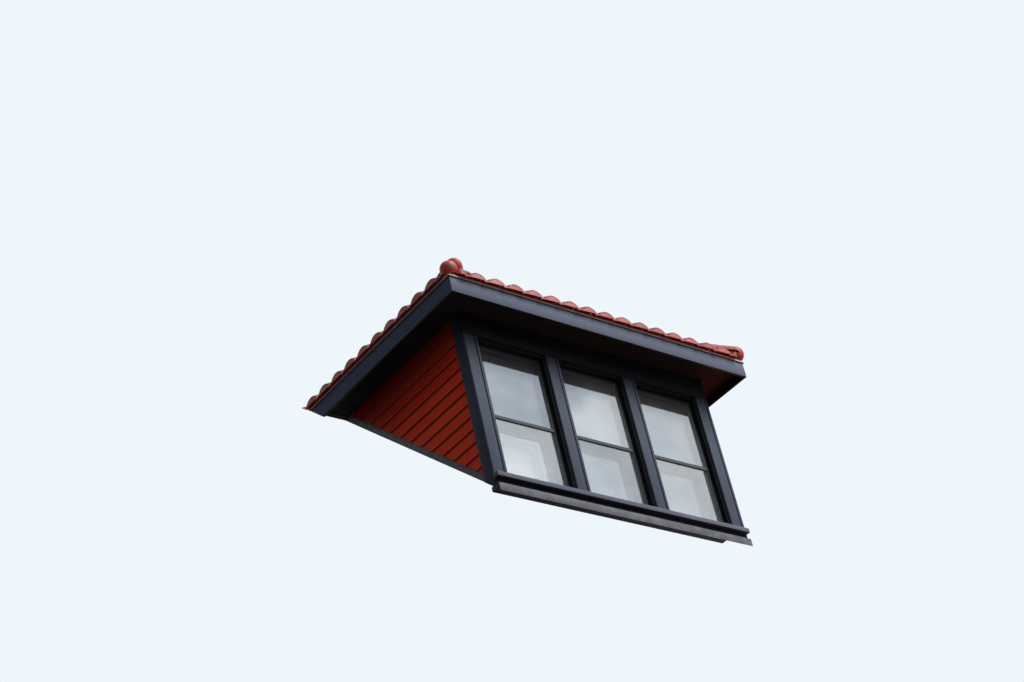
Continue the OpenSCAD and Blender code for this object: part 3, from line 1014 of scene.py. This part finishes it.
@dataclass
class TileRows:
    """The clay tiles of one slope: round hills with narrow hollows between, closed at the eave."""

    frame: Frame
    side: Side
    clay_t: float = 0.012
    courses: int = 8
    overlap: float = 0.06
    tuck: float = 0.040
    tuck_low: float = 0.002
    front_tuck: float = 0.021
    flank: float = 50.0
    roll: float = 1.6
    sway: float = 0.3
    drift: float = 0.0015
    slip: float = 0.004
    eave_slip: float = 0.001
    front_low: float = 0.027
    front_t: float = 0.048
    front_round: float = 0.008
    set_back: float = 0.003
    ridge_gap: float = 0.004
    spare: float = 0.25
    beyond: float = 0.1
    seed: int = 7

    def __post_init__(self) -> None:
        """Work out the courses and where the hill's curve turns into the hollow's."""
        size = self.frame
        self.lip = size.tile_lip / math.cos(size.pitch) - self.set_back
        self.slope_l = size.eave_x / math.cos(size.pitch)
        self.exposure = (self.slope_l + self.lip) / self.courses
        self.tilt = math.asin(self.clay_t / self.exposure)
        self.crest = size.deck_t + size.tile_t
        self.hollow = size.deck_t + size.hollow_t
        self.turn = 2 * math.atan(2 * (self.crest - self.hollow) / size.tile_pitch)
        self.hollow_r = size.tile_pitch / 2 / math.sin(self.turn) - size.hill_r
        if self.side is Side.FRONT:
            self.first_crest = size.front_hill_shift
        else:
            self.first_crest = -self.side.value * size.side_hill_shift

    def profile(self, bm: bmesh.types.BMesh, tuck: float) -> None:
        """Draw the curve of a tile's lower edge, from the hollow at its left over its hill.

        Args:
            bm: The mesh that takes the curve.
            tuck: How far it runs on under the tile at its left.
        """
        size = self.frame
        middle = -size.tile_pitch / 2
        low = self.hollow - self.tuck_low
        start = bmesh.ops.create_vert(bm, co=(middle - tuck, 0, low))["vert"]
        grown = bmesh.ops.extrude_vert_indiv(bm, verts=start)["verts"]
        bmesh.ops.translate(bm, vec=(tuck, 0, self.tuck_low), verts=grown)
        bmesh.ops.spin(
            bm, geom=grown, cent=(middle, 0, self.hollow + self.hollow_r), axis=(0, 1, 0),
            angle=-self.turn, steps=4,
        )
        bend = max(bm.verts, key=lambda vert: vert.co.x)
        bmesh.ops.spin(
            bm, geom=[bend], cent=(0, 0, self.crest - size.hill_r), axis=(0, 1, 0),
            angle=self.turn + math.radians(self.flank), steps=11,
        )

    def tile(self) -> bpy.types.Mesh:
        """One tile from its lower edge up the slope, with its hill's middle at X 0.

        Returns:
            The tile's mesh.
        """
        shape = Shape()
        self.profile(shape.bm, self.tuck)
        shape.sweep(shape.bm.edges, (0, self.exposure + self.overlap, 0))
        shape.thicken(self.clay_t)
        return shape.mesh("tile", 50)

    def front(self) -> bpy.types.Mesh:
        """The closed lower end of an eave tile, with a rounded upper edge.

        Returns:
            The end's mesh, with its face towards -Y.
        """
        shape = Shape()
        bm = shape.bm
        self.profile(bm, self.front_tuck)
        foot, _ = shape.sweep(bm.edges)
        bmesh.ops.scale(bm, vec=(1, 1, 0), verts=foot)
        bmesh.ops.translate(bm, vec=(0, 0, self.front_low), verts=foot)
        bmesh.ops.dissolve_faces(bm, faces=bm.faces)
        grown = bmesh.ops.extrude_face_region(bm, geom=bm.faces)["geom"]
        bmesh.ops.translate(bm, vec=(0, self.front_t, 0), verts=shape.verts_of(grown))
        bmesh.ops.recalc_face_normals(bm, faces=bm.faces)
        rim = [
            edge for edge in bm.edges
            if all(vert.co.y < 1e-4 and vert.co.z > self.front_low + 1e-3 for vert in edge.verts)
        ]
        shape.bevel_edges(rim, self.front_round, 4)
        return shape.mesh("tile front", 40)

    def reach(self) -> tuple[float, float]:
        """Tell how far the rows run along the eave.

        Returns:
            The first and the last place.
        """
        front = self.frame.eave_x + self.beyond
        if self.side is Side.FRONT:
            return -front, front
        back = CAD_BOX[1][1] - self.frame.ridge_y
        return (-front, back) if self.side is Side.RIGHT else (-back, front)

    def trim(self, shape: Shape) -> None:
        """Cut the rows at the hips, the ridge, the corners and the roof below.

        Args:
            shape: The rows.
        """
        size = self.frame
        away = 1 if self.side is Side.FRONT else -1
        for side in FLANKS:
            if self.side in (Side.FRONT, side):
                shape.cut((0, size.ridge_y, 0), (side.value * away, away, 0))
                shape.cut(size.hip(side).translation, (side.value, -1, 0))
        if self.side is not Side.FRONT:
            shape.cut((self.side.value * self.ridge_gap, 0, 0), (-self.side.value, 0, 0))
            shape.cut_at_roof()

    def wanted(self, middle: Vector) -> bool:
        """Tell whether a tile near this point shows at all.

        Args:
            middle: The tile's middle.

        Returns:
            True inside the slope's plan, with a tile's width to spare.
        """
        back = middle.y - self.frame.ridge_y
        if self.side is Side.FRONT:
            return abs(middle.x) < -back + self.spare
        inside = self.side.value * middle.x
        return back > -inside - self.spare and middle.y < middle.z + self.spare

    def build(self) -> None:
        """Lay the tiles and trim them, as the piece that stands for the slope's tile layer."""
        rng = random.Random(self.seed + self.side.value)
        shape = Shape()
        tile, front = self.tile(), self.front()
        place = self.frame.slope(self.side)
        step = self.frame.tile_pitch
        first, last = self.reach()
        columns = range(
            math.floor((first - self.first_crest) / step),
            math.ceil((last - self.first_crest) / step) + 1,
        )
        plumb = Matrix.Identity(4)
        plumb[1][2] = math.tan(self.frame.pitch)
        for column in columns:
            across = self.first_crest + column * step
            for course in range(self.courses):
                along = course * self.exposure - self.lip
                if not self.wanted(place @ Vector((across, along + self.exposure / 2, 0))):
                    continue
                eave = course == 0
                slip = self.eave_slip if eave else self.slip
                seat = place @ Matrix.Translation((
                    across + rng.uniform(-self.drift, self.drift), along + rng.uniform(0, slip), 0
                ))
                turn = Matrix.Rotation(-self.tilt, 4, "X") @ Matrix.Rotation(
                    math.radians(rng.uniform(-self.sway, self.sway) - self.roll), 4, "Y"
                )
                shade = rng.random()
                if eave:
                    seat = seat @ plumb
                    shape.add(tile, seat @ turn, shade)
                    shape.add(front, seat @ turn, shade)
                else:
                    shape.add(tile, seat @ turn, shade)
        self.trim(shape)
        word = self.side.word
        shape.piece(f"{word}_tile_rows", Finishes.clay, [f"{word}_tiles"], 50)


@dataclass
class CapRun:
    """A run of half-round cap tiles, each lapping over the one below."""

    frame: Frame
    cap_l: float = 0.37
    exposure: float = 0.30
    clay_t: float = 0.013
    narrowing: float = 0.90
    rim: float = 0.03
    edge: float = 0.003
    sway: float = 2.0
    shift: float = 0.002
    spread: float = 0.132
    bed_low: float = 0.125
    bed_grid: tuple[float, float] = (0.03, 0.022)
    bed_rough: float = 0.004
    bed_edge: float = 0.006
    fall: float = 1.1
    plug: float = 0.035
    filled: float = 0.4

    def cap(self) -> bpy.types.Mesh:
        """One cap: a tapered half-round shell along X, open below.

        Returns:
            The cap's mesh.
        """
        shape = Shape()
        start = bmesh.ops.create_vert(shape.bm, co=(0, -self.frame.cap_r, 0))["vert"]
        bmesh.ops.spin(
            shape.bm, geom=start, cent=(0, 0, 0), axis=(1, 0, 0), angle=-math.pi, steps=16
        )
        edges = list(shape.bm.edges)
        for share in (self.rim, 1.0):
            moved, edges = shape.sweep(edges, (self.cap_l * share, 0, 0))
            slim = 1 - (1 - self.narrowing) * share
            bmesh.ops.scale(shape.bm, vec=(1, slim, slim), verts=moved)
        shape.thicken(self.clay_t)
        shape.bevel(self.edge, 2, 50)
        return shape.mesh("cap", 50)

    def bed(
        self, length: float, inner: float, rng: random.Random, mouth: float = 0.96
    ) -> bpy.types.Mesh:
        """A rough bed of mortar under a run, along X, which spreads over the tiles beside it.

        Args:
            length: The run's length.
            inner: The radius that it fills.
            rng: The source of its roughness.
            mouth: How much of that radius it fills at its lower end.

        Returns:
            The bed's mesh.
        """
        shape = Shape()
        bm = shape.bm
        shape.box(
            Vector((0, -self.spread, -self.bed_low)), Vector((length, self.spread, 0))
        )
        for axis, step in enumerate(self.bed_grid):
            along = [
                edge for edge in bm.edges
                if abs(edge.verts[0].co[axis] - edge.verts[1].co[axis]) > step
            ]
            cuts = round(along[0].calc_length() / step)
            bmesh.ops.subdivide_edges(bm, edges=along, cuts=cuts, use_grid_fill=True)
        for vert in bm.verts:
            if vert.co.z < -0.001:
                vert.co.y += rng.uniform(-self.bed_edge, self.bed_edge)
                continue
            reach = abs(vert.co.y)
            if reach < inner:
                full = mouth if vert.co.x < self.plug else self.filled
                vert.co.z = full * math.sqrt(inner ** 2 - reach ** 2)
            else:
                rise = rng.uniform(-self.bed_rough, self.bed_rough)
                vert.co.z = -(reach - inner) * self.fall + rise
        return shape.mesh("bed", 60)

    def lay(
        self, shape: Shape, place: Matrix, first: float, length: float, rng: random.Random,
        drift: float = 0.0, lift: float = 0.0, slim: float = 1.0,
    ) -> None:
        """Lay caps from the foot of a run to its head.

        Args:
            shape: Where they go.
            place: The run's axes, X along it.
            first: Where the first cap starts.
            length: The run's length.
            rng: The source of small shifts and shades.
            drift: How far the first cap lies beside the run, which halves with each next one.
            lift: How far the first cap's lower end is raised.
            slim: How wide the first cap is, as a share of the others.
        """
        cap = self.cap()
        count = math.ceil((length - first) / self.exposure)
        rise = math.asin(self.clay_t / self.exposure)
        for index in range(count):
            high = 0.0 if index else lift
            turn = Matrix.Rotation(rise + high / self.cap_l, 4, "Y") @ Matrix.Rotation(
                math.radians(rng.uniform(-self.sway, self.sway)), 4, "X"
            )
            beside = drift * 0.5 ** index + rng.uniform(-self.shift, self.shift)
            seat = Matrix.Translation((first + index * self.exposure, beside, high))
            width = 1.0 if index else slim
            fitted = Matrix.Diagonal((1.0, width, width, 1.0))
            shape.add(cap, place @ seat @ turn @ fitted, rng.random())


@dataclass
class RoofCaps:
    """The caps on both hips and on the ridge, the round ends at the corners and the mortar."""

    frame: Frame
    run: CapRun
    left_first: float = 0.120
    right_first: float = 0.180
    left_mouth: float = 0.3
    right_mouth: float = 0.66
    mouth_in: float = 0.008
    halves_gap: float = 0.001
    end_t: float = 0.012
    end_low: float = 0.050
    left_under: float = 0.05
    right_off: float = 0.002
    right_dip: float = 0.025
    right_lift: float = 0.018
    right_bed_at: float = 0.115
    right_bed_short: float = 0.095
    right_bed_in: float = 0.02
    second_r: float = 0.077
    second_flat: float = 0.6
    second_over: float = 0.002
    second_at: tuple[float, float, float] = (0.095, -0.051, 0.021)
    fillet_at: tuple[float, float, float] = (-1.580, 0.022, 0.050)
    fillet_size: tuple[float, float, float] = (0.090, 0.035, 0.030)
    fillet_rough: float = 0.002
    break_top: float = 0.010
    break_h: float = 0.060
    break_x: tuple[float, float] = (-0.042, 0.10)
    crumb_count: int = 40
    crumb_r: tuple[float, float] = (0.007, 0.014)
    crumb_rough: float = 0.0015
    crumb_low: tuple[float, float, float] = (-0.04, 0.050, -0.048)
    crumb_high: tuple[float, float, float] = (0.075, 0.082, -0.016)
    left_scale: float = 0.934
    left_at: tuple[float, float, float] = (0.0, -0.0056, 0.007)
    ring: float = 0.009
    seed: int = 33

    def first(self, side: Side) -> float:
        """Where the first cap of a hip starts, up from the hip's foot."""
        return self.left_first if side is Side.LEFT else self.right_first

    def axes(self, side: Side, sink: float) -> Matrix:
        """Axes along a hip, X up it.

        Args:
            side: Left or right.
            sink: How far they lie below the line where the tile layers meet.

        Returns:
            The axes, from the hip's foot.
        """
        size = self.frame
        down = Matrix.Translation((0, 0, -sink))
        return size.hip(side) @ down @ Matrix.Rotation(-size.hip_pitch, 4, "Y")

    def hips(self) -> None:
        """Lay the caps on both hips."""
        size, run = self.frame, self.run
        rng = random.Random(self.seed)
        length = (size.eave_x - size.starter_in) * math.sqrt(2) / math.cos(size.hip_pitch)
        inner = size.cap_r - run.clay_t
        shape, bed = Shape(), Shape()
        for side in FLANKS:
            place = self.axes(side, size.cap_sink)
            half, half_bed = Shape(), Shape()
            first = self.first(side)
            mouth = place @ Matrix.Translation((first + self.mouth_in, 0, 0))
            if side is Side.LEFT:
                slim = (self.second_r - self.second_over) / size.cap_r
                run.lay(half, place, first, length, rng, *self.second_at[1:], slim)
                half_bed.add(run.bed(length, inner, rng, self.left_mouth), mouth)
                half.add(self.end(side), place @ self.second_end())
                half.add(self.fillet(rng), size.slope(Side.FRONT))
            else:
                run.lay(half, place, first, length, rng, 0.0, -self.right_dip)
                half_bed.add(run.bed(length, inner, rng, self.right_mouth), mouth)
                start = Matrix.Translation((self.right_bed_at, 0, 0))
                low = self.axes(side, size.starter_sink) @ start
                inside = size.starter_r - self.right_bed_in
                half_bed.add(run.bed(first - self.right_bed_short, inside, rng), low)
            for part in (half, half_bed):
                part.cut((side.value * self.halves_gap, 0, 0), (-side.value, 0, 0))
            shape.add(half.mesh("hip half"), Matrix.Identity(4), None)
            bed.add(half_bed.mesh("hip bed"), Matrix.Identity(4))
        shape.piece("hip_cap_tiles", Finishes.cap_clay, ["hip_caps"])
        bed.piece("hip_mortar", Finishes.mortar)

    def ridge(self) -> None:
        """Lay the caps on the ridge, back to the roof below."""
        size = self.frame
        rng = random.Random(self.seed + 1)
        top = size.ridge_z + size.cap_lift - size.cap_sink
        length = top + size.cap_r - size.ridge_y
        place = Matrix.Translation((0, size.ridge_y, top)) @ Matrix.Rotation(math.pi / 2, 4, "Z")
        shape, bed = Shape(), Shape()
        self.run.lay(shape, place, 0, length, rng)
        shape.cut_at_roof()
        shape.piece("ridge_cap_tiles", Finishes.cap_clay, ["ridge_caps"])
        bed.add(self.run.bed(length, size.cap_r - self.run.clay_t, rng), place)
        bed.cut_at_roof()
        bed.piece("ridge_mortar", Finishes.mortar)

    def end(self, side: Side) -> bpy.types.Mesh:
        """The round closed tile at a hip's foot: a ball that runs on as a tube up the hip.

        Args:
            side: Left or right.

        Returns:
            Its mesh, with the tube along X.
        """
        shape = Shape()
        bm = shape.bm
        bmesh.ops.create_uvsphere(
            bm, u_segments=56, v_segments=32, radius=self.frame.starter_r,
            matrix=Matrix.Rotation(math.pi / 2, 4, "Y"),
        )
        upper = [vert for vert in bm.verts if vert.co.x > 1e-4]
        bmesh.ops.delete(bm, geom=upper, context="VERTS")
        length = self.first(side) + (self.left_under if side is Side.LEFT else -self.right_off)
        rim = [edge for edge in bm.edges if edge.is_boundary]
        for _ in range(round(length / self.ring)):
            rim = shape.sweep(rim, (self.ring, 0, 0))[1]
        if side is Side.RIGHT:
            broken = [face for face in bm.faces if self.is_broken(face.calc_center_median())]
            bmesh.ops.delete(bm, geom=broken, context="FACES")
        shape.thicken(self.end_t)
        shape.cut((0, 0, -self.end_low), (0, 0, -1))
        return shape.mesh("round end", 50)

    def fillet(self, rng: random.Random) -> bpy.types.Mesh:
        """The filling between the left round end and the first tile.

        Args:
            rng: The source of its roughness.

        Returns:
            Its mesh, on the front slope's axes.
        """
        shape = Shape()
        shaped = Matrix.Translation(self.fillet_at) @ Matrix.Diagonal((*self.fillet_size, 1))
        shape.lump(shaped, 1, 3, self.fillet_rough, rng)
        return shape.mesh("fillet", 60)

    def second_end(self) -> Matrix:
        """Place the second round end, flatter and raised, behind the left one.

        Returns:
            Its axes, from the hip's.
        """
        wider = self.second_r / self.frame.starter_r
        shaped = Matrix.Diagonal((self.second_flat, wider, wider, 1))
        return Matrix.Translation(self.second_at) @ shaped

    def is_broken(self, place: Vector) -> bool:
        """Tell whether a point lies in the piece that is broken out of the right end tile.

        Args:
            place: The point, along the hip's axes.

        Returns:
            True inside a small triangle on the front slope's side.
        """
        low, high = self.break_x
        depth = (self.break_top - place.z) / self.break_h
        return place.y > 0 and 0 <= depth <= 1 and low < place.x < high - high * depth

    def ends(self) -> None:
        """Make the round closed tiles at the foot of each hip."""
        shape = Shape()
        low = self.frame.starter_sink
        smaller = Matrix.Translation(self.left_at) @ Matrix.Scale(self.left_scale, 4)
        shape.add(self.end(Side.LEFT), self.axes(Side.LEFT, low) @ smaller)
        shape.add(self.end(Side.RIGHT), self.axes(Side.RIGHT, low - self.right_lift), 0.15)
        shape.piece("round_hip_ends", Finishes.cap_clay, ["hip_ends"])

    def crumbs(self) -> None:
        """Fill the broken right end with crumbled mortar."""
        rng = random.Random(self.seed + 2)
        place = self.axes(Side.RIGHT, self.frame.starter_sink - self.right_lift)
        shape = Shape()
        for _ in range(self.crumb_count):
            at = [rng.uniform(*ends) for ends in zip(self.crumb_low, self.crumb_high)]
            radius = rng.uniform(*self.crumb_r)
            shape.lump(place @ Matrix.Translation(at), radius, 2, self.crumb_rough, rng)
        shape.tint(0.5)
        shape.piece("end_mortar", Finishes.crumbled)

    def build(self) -> None:
        """Make all caps."""
        self.hips()
        self.ridge()
        self.ends()
        self.crumbs()


@dataclass
class Cladding:
    """Clapboards on one cheek, tapered and lapped, cut along the roof below."""

    side: Side
    lap: float = 0.026
    butt: float = 0.0175
    tip: float = 0.006
    wave: float = 0.0012
    edge: float = 0.0012
    off_wall: float = 0.0015
    off_post: float = 0.001
    off_top: float = 0.001
    off_foot: float = 0.002
    past_foot: float = 0.01
    least: float = 0.02
    seed: int = 51

    def board(self, low: Vector, high: Vector, rng: random.Random) -> bpy.types.Mesh:
        """One board: thick at its lower edge and thin at its upper one.

        Args:
            low: The lowest corner of its space, at the wall.
            high: The highest corner, at the outside.
            rng: The source of small shifts.

        Returns:
            The board's mesh.
        """
        shape = Shape()
        shape.box(low, high)
        wall, outside = sorted((low.x, high.x), key=abs)
        thinner = (outside - wall) * (1 - self.tip / self.butt)
        upper = [
            vert for vert in shape.bm.verts
            if abs(vert.co.x - outside) < 1e-6 and vert.co.z > (low.z + high.z) / 2
        ]
        bmesh.ops.translate(shape.bm, vec=(-thinner, 0, 0), verts=upper)
        wave = rng.uniform(-self.wave, self.wave)
        bmesh.ops.translate(shape.bm, vec=(0, 0, wave), verts=shape.bm.verts)
        shape.bevel(self.edge, 1, 50)
        return shape.mesh("board", None)

    def build(self) -> None:
        """Nail up the boards, as the piece that stands for the cheek's cladding."""
        node = f"{self.side.word}_cladding"
        low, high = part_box(node)
        foot = low.z - low.y
        rng = random.Random(self.seed + self.side.value)
        shape = Shape()
        out = self.side.value
        seat = min((low.x, high.x), key=abs) + out * self.off_wall
        inner, outer = sorted((seat, seat + out * self.butt))
        bottom = FIRST_LAP
        while bottom < high.z:
            bottom += BOARD_STEP
        while bottom > low.z - BOARD_STEP:
            bottom -= BOARD_STEP
            top = min(bottom + BOARD_STEP + self.lap, high.z - self.off_top)
            back = min(high.y, top - foot + self.past_foot)
            if top - bottom < self.least or back < low.y + self.least:
                continue
            start = Vector((inner, low.y + self.off_post, bottom))
            board = self.board(start, Vector((outer, back, top)), rng)
            shape.add(board, Matrix.Identity(4), rng.random())
        shape.cut((0, low.y, low.z + self.off_foot), (0, 1, -1))
        shape.piece(f"{self.side.word}_clapboards", Finishes.red_boards, [node], None)


@dataclass
class Joinery:
    """Boards and bars that keep their node's shape and get soft edges and paint."""

    frame: Frame
    edge: float = 0.0025
    strip_h: float = 0.021
    finishes: dict[str, Finish] = field(init=False)

    def __post_init__(self) -> None:
        """List the finish of each node."""
        bays = ("left", "middle", "right")
        sashes = " ".join(f"{bay}_{half}_sash" for half in ("upper", "lower") for bay in bays)
        named = Finishes
        dressed = (
            (named.old_wood, "front_sole"),
            (named.bare_y, "left_sole right_sole valley_boards"),
            (named.charcoal_x, "apron_board frieze_board"),
            (named.slate_z, "face_boards"),
            (named.corner_z, "corner_boards"),
            (named.slate_x, "window_sill"),
            (named.charcoal_z, " ".join(f"{bay}_window_frame" for bay in bays)),
            (named.storm_grey, "storm_frames"),
            (named.charcoal_z, sashes),
            (named.fascia_x, "front_fascia"),
            (named.slate_y, "left_fascia right_fascia"),
            (named.sand_x, "eave_strips"),
            (named.bare_y, "rafters"),
            (named.sheet, "side_flashings apron_flashing"),
            (named.lining, "left_cheek_wall right_cheek_wall"),
            (named.post_lining, "left_corner_post right_corner_post left_mullion right_mullion"),
            (named.post_lining, "head_beam"),
            (named.lining, "ceiling"),
        )
        self.finishes = {node: finish for finish, nodes in dressed for node in nodes.split()}

    @staticmethod
    def mark_back(shape: Shape, outward: Vector) -> None:
        """Mark the faces of a fascia that look at the house or down for the dark back colour, which
        on the faces that look down is painted shade.

        Args:
            shape: The fascia.
            outward: The way that its front looks.
        """
        for face in shape.bm.faces:
            if face.normal.dot(outward) < -0.5 or face.normal.z < -0.5:
                face[shape.shade] = 0.0

    def build(self) -> None:
        """Make the softened copies."""
        fascias = {f"{side.word}_fascia": side for side in Side}
        for node, finish in self.finishes.items():
            shape = Shape(frame["nodes"][node])
            shape.tint(0.5)
            if node == "eave_strips":
                shape.cut((0, 0, self.frame.eave_z - self.strip_h), (0, 0, -1))
            if node in fascias:
                side = fascias[node].value
                self.mark_back(shape, Vector((side, abs(side) - 1, 0)))
            shape.bevel(self.edge)
            shape.piece(f"{node}_finished", finish, [node], 35)


@dataclass
class BoardRow:
    """A node split in narrow boards with soft edges and a fine gap between."""

    node: str
    piece: str
    finish: Finish
    across: tuple[float, float, float]
    width: float
    gap: float = 0.0015
    edge: float = 0.003
    seed: int = 5

    def build(self) -> None:
        """Split the node into boards."""
        rng = random.Random(self.seed)
        shape = Shape()
        way = Vector(self.across)
        places = [way @ vert.co for vert in frame["nodes"][self.node].data.vertices]
        start, stop = min(places), max(places)
        count = max(1, math.ceil((stop - start) / self.width))
        for index in range(count):
            low = start + index * self.width
            board = Shape(frame["nodes"][self.node])
            if index:
                board.cut(way * (low + self.gap / 2), -way)
            if index < count - 1:
                board.cut(way * (low + self.width - self.gap / 2), way)
            if not board.bm.faces:
                board.bm.free()
                continue
            board.bevel(self.edge, 1)
            shape.add(board.mesh("strip"), Matrix.Identity(4), rng.random())
        shape.piece(self.piece, self.finish, [self.node], 35)


@dataclass
class Panes:
    """The window glass, which keeps its node's shape, with a painted reflection tone of its own for
    each pane.
    """

    bay: float = 0.9
    middle_z: float = 0.81
    # The painted reflection tone of each pane: upper ones, then lower ones, left to right
    glazing: dict[str, tuple[Finish, tuple[float, ...], tuple[float, ...]]] = field(
        default_factory=lambda: {
            "storm_panes": (Finishes.storm_glass, (0.32, 1.00, 0.85), (0.85, 0.65, 1.00)),
            "sash_panes": (Finishes.sash_glass, (0.05, 0.45, 0.12), (1.00, 0.50, 0.20)),
        }
    )

    def build(self) -> None:
        """Make the panes; a finish's tones are the upper ones and the lower ones, left to right."""
        for node, (finish, upper, lower) in self.glazing.items():
            shape = Shape(frame["nodes"][node])
            for face in shape.bm.faces:
                middle = face.calc_center_median()
                reflection_tones = upper if middle.z > self.middle_z else lower
                face[shape.shade] = reflection_tones[round(middle.x / self.bay) + 1]
            shape.piece(f"{node}_glazed", finish, [node], None)


@dataclass(frozen=True)
class Lamp:
    """A soft lamp that points at the dormer, which the panes may mirror."""

    name: str
    place: tuple[float, float, float]
    power: float
    wide: float
    tall: float
    colour: Colour
    mirrored: bool = True
    target: tuple[float, float, float] = (0, 0.6, 1.3)

    def hang(self) -> None:
        """Hang the lamp."""
        data = bpy.data.lights.new(self.name, "AREA")
        data.energy = self.power
        data.shape = "RECTANGLE"
        data.size, data.size_y = self.wide, self.tall
        data.color = self.colour[:3]
        made = linked(self.name, data)
        made.visible_glossy = self.mirrored
        aim = Vector(self.target) - Vector(self.place)
        turn = aim.to_track_quat("-Z", "Y").to_matrix().to_4x4()
        made.matrix_world = Matrix.Translation(self.place) @ turn


@dataclass
class Studio:
    """Floor, lamps, backdrop and camera."""

    camera_at: tuple[float, float, float] = (-11.238, -10.375, -8.197)
    looks_up: float = 33.88
    looks_right: float = 44.91
    roll: float = -13.346
    lens: float = 70.62
    sensor: float = 36.0
    floor_z: float = -9.8
    floor_size: float = 90.0
    backdrop: Colour = paint(238, 246, 252)
    ambient: float = 0.20
    lamps: tuple[Lamp, ...] = (
        Lamp("key lamp", (12.5, -23.5, 30.0), 20500, 11.0, 26.0, paint(252, 253, 255)),
        Lamp("low lamp", (9.0, -24.0, 6.5), 900, 9.0, 6.0, paint(252, 253, 255)),
        Lamp("back lamp", (9.0, 14.0, 12.0), 1500, 9.0, 9.0, paint(240, 246, 255)),
        Lamp("warm bounce lamp", (5.5, -2.0, -3.0), 60, 3.0, 3.0, paint(255, 140, 108), False),
    )

    def camera(self) -> None:
        """Put the camera where the photographer stood."""
        data = bpy.data.cameras.new("camera")
        data.lens = self.lens
        data.sensor_width = self.sensor
        data.clip_end = 300
        made = linked("camera", data)
        made.matrix_world = (
            Matrix.Translation(self.camera_at)
            @ Matrix.Rotation(math.radians(-self.looks_right), 4, "Z")
            @ Matrix.Rotation(math.radians(90 + self.looks_up), 4, "X")
            @ Matrix.Rotation(math.radians(self.roll), 4, "Z")
        )
        bpy.context.scene.camera = made

    def world(self) -> None:
        """Light the room evenly, and show a pale backdrop to the camera, metal and glass."""
        made = bpy.data.worlds.new("studio")
        bpy.context.scene.world = made
        made.use_nodes = True
        nodes = Nodes(made.node_tree)
        path = nodes.node("ShaderNodeLightPath").outputs
        seen = nodes.maths("MAXIMUM", path["Is Camera Ray"], path["Is Glossy Ray"])
        shown = nodes.maths("MAXIMUM", seen, path["Is Transmission Ray"])
        even, plain = [
            nodes.node(
                "ShaderNodeBackground", {}, {"Color": self.backdrop, "Strength": strength}
            ).outputs[0]
            for strength in (self.ambient, 1.0)
        ]
        mixed = nodes.node("ShaderNodeMixShader", {}, {0: shown, 1: even, 2: plain})
        nodes.node("ShaderNodeOutputWorld", {}, {"Surface": mixed.outputs[0]})

    def floor(self) -> None:
        """Lay the floor, which looks pale and throws little light back."""
        shape = Shape()
        bmesh.ops.create_grid(
            shape.bm, x_segments=2, y_segments=2, size=self.floor_size / 2,
            matrix=Matrix.Translation((0, 0, self.floor_z)),
        )
        made = linked("floor", shape.mesh("floor", None))
        shader = Shader("pale floor")
        lit = shader.node("ShaderNodeLightPath").outputs["Is Diffuse Ray"]
        colour = shader.mix(lit, paint(225, 230, 234), paint(62, 50, 48))
        made.data.materials.append(shader.close(Base_Color=colour, Roughness=0.9))

    def build(self) -> None:
        """Set up the studio."""
        bpy.context.scene.view_settings.view_transform = "Standard"
        self.camera()
        self.world()
        self.floor()
        for lamp in self.lamps:
            lamp.hang()


def main() -> None:
    """Dress the dormer."""
    logging.basicConfig(level=logging.INFO, format="%(message)s")
    places = Frame()
    Studio().build()
    for side in Side:
        TileRows(places, side).build()
    RoofCaps(places, CapRun(places)).build()
    for side in FLANKS:
        Cladding(side).build()
    Joinery(places).build()
    # The roof boards are 140 mm wide on the slope, which rises at 30 degrees
    BoardRow("soffit_boards", "soffit_strips", Finishes.soffit, (0, 1, 0), 0.088).build()
    BoardRow("roof_boards", "deck_strips", Finishes.deck_wood, (0, 0, 1), 0.140 * 0.5).build()
    Panes().build()


if __name__ == "__main__":
    main()
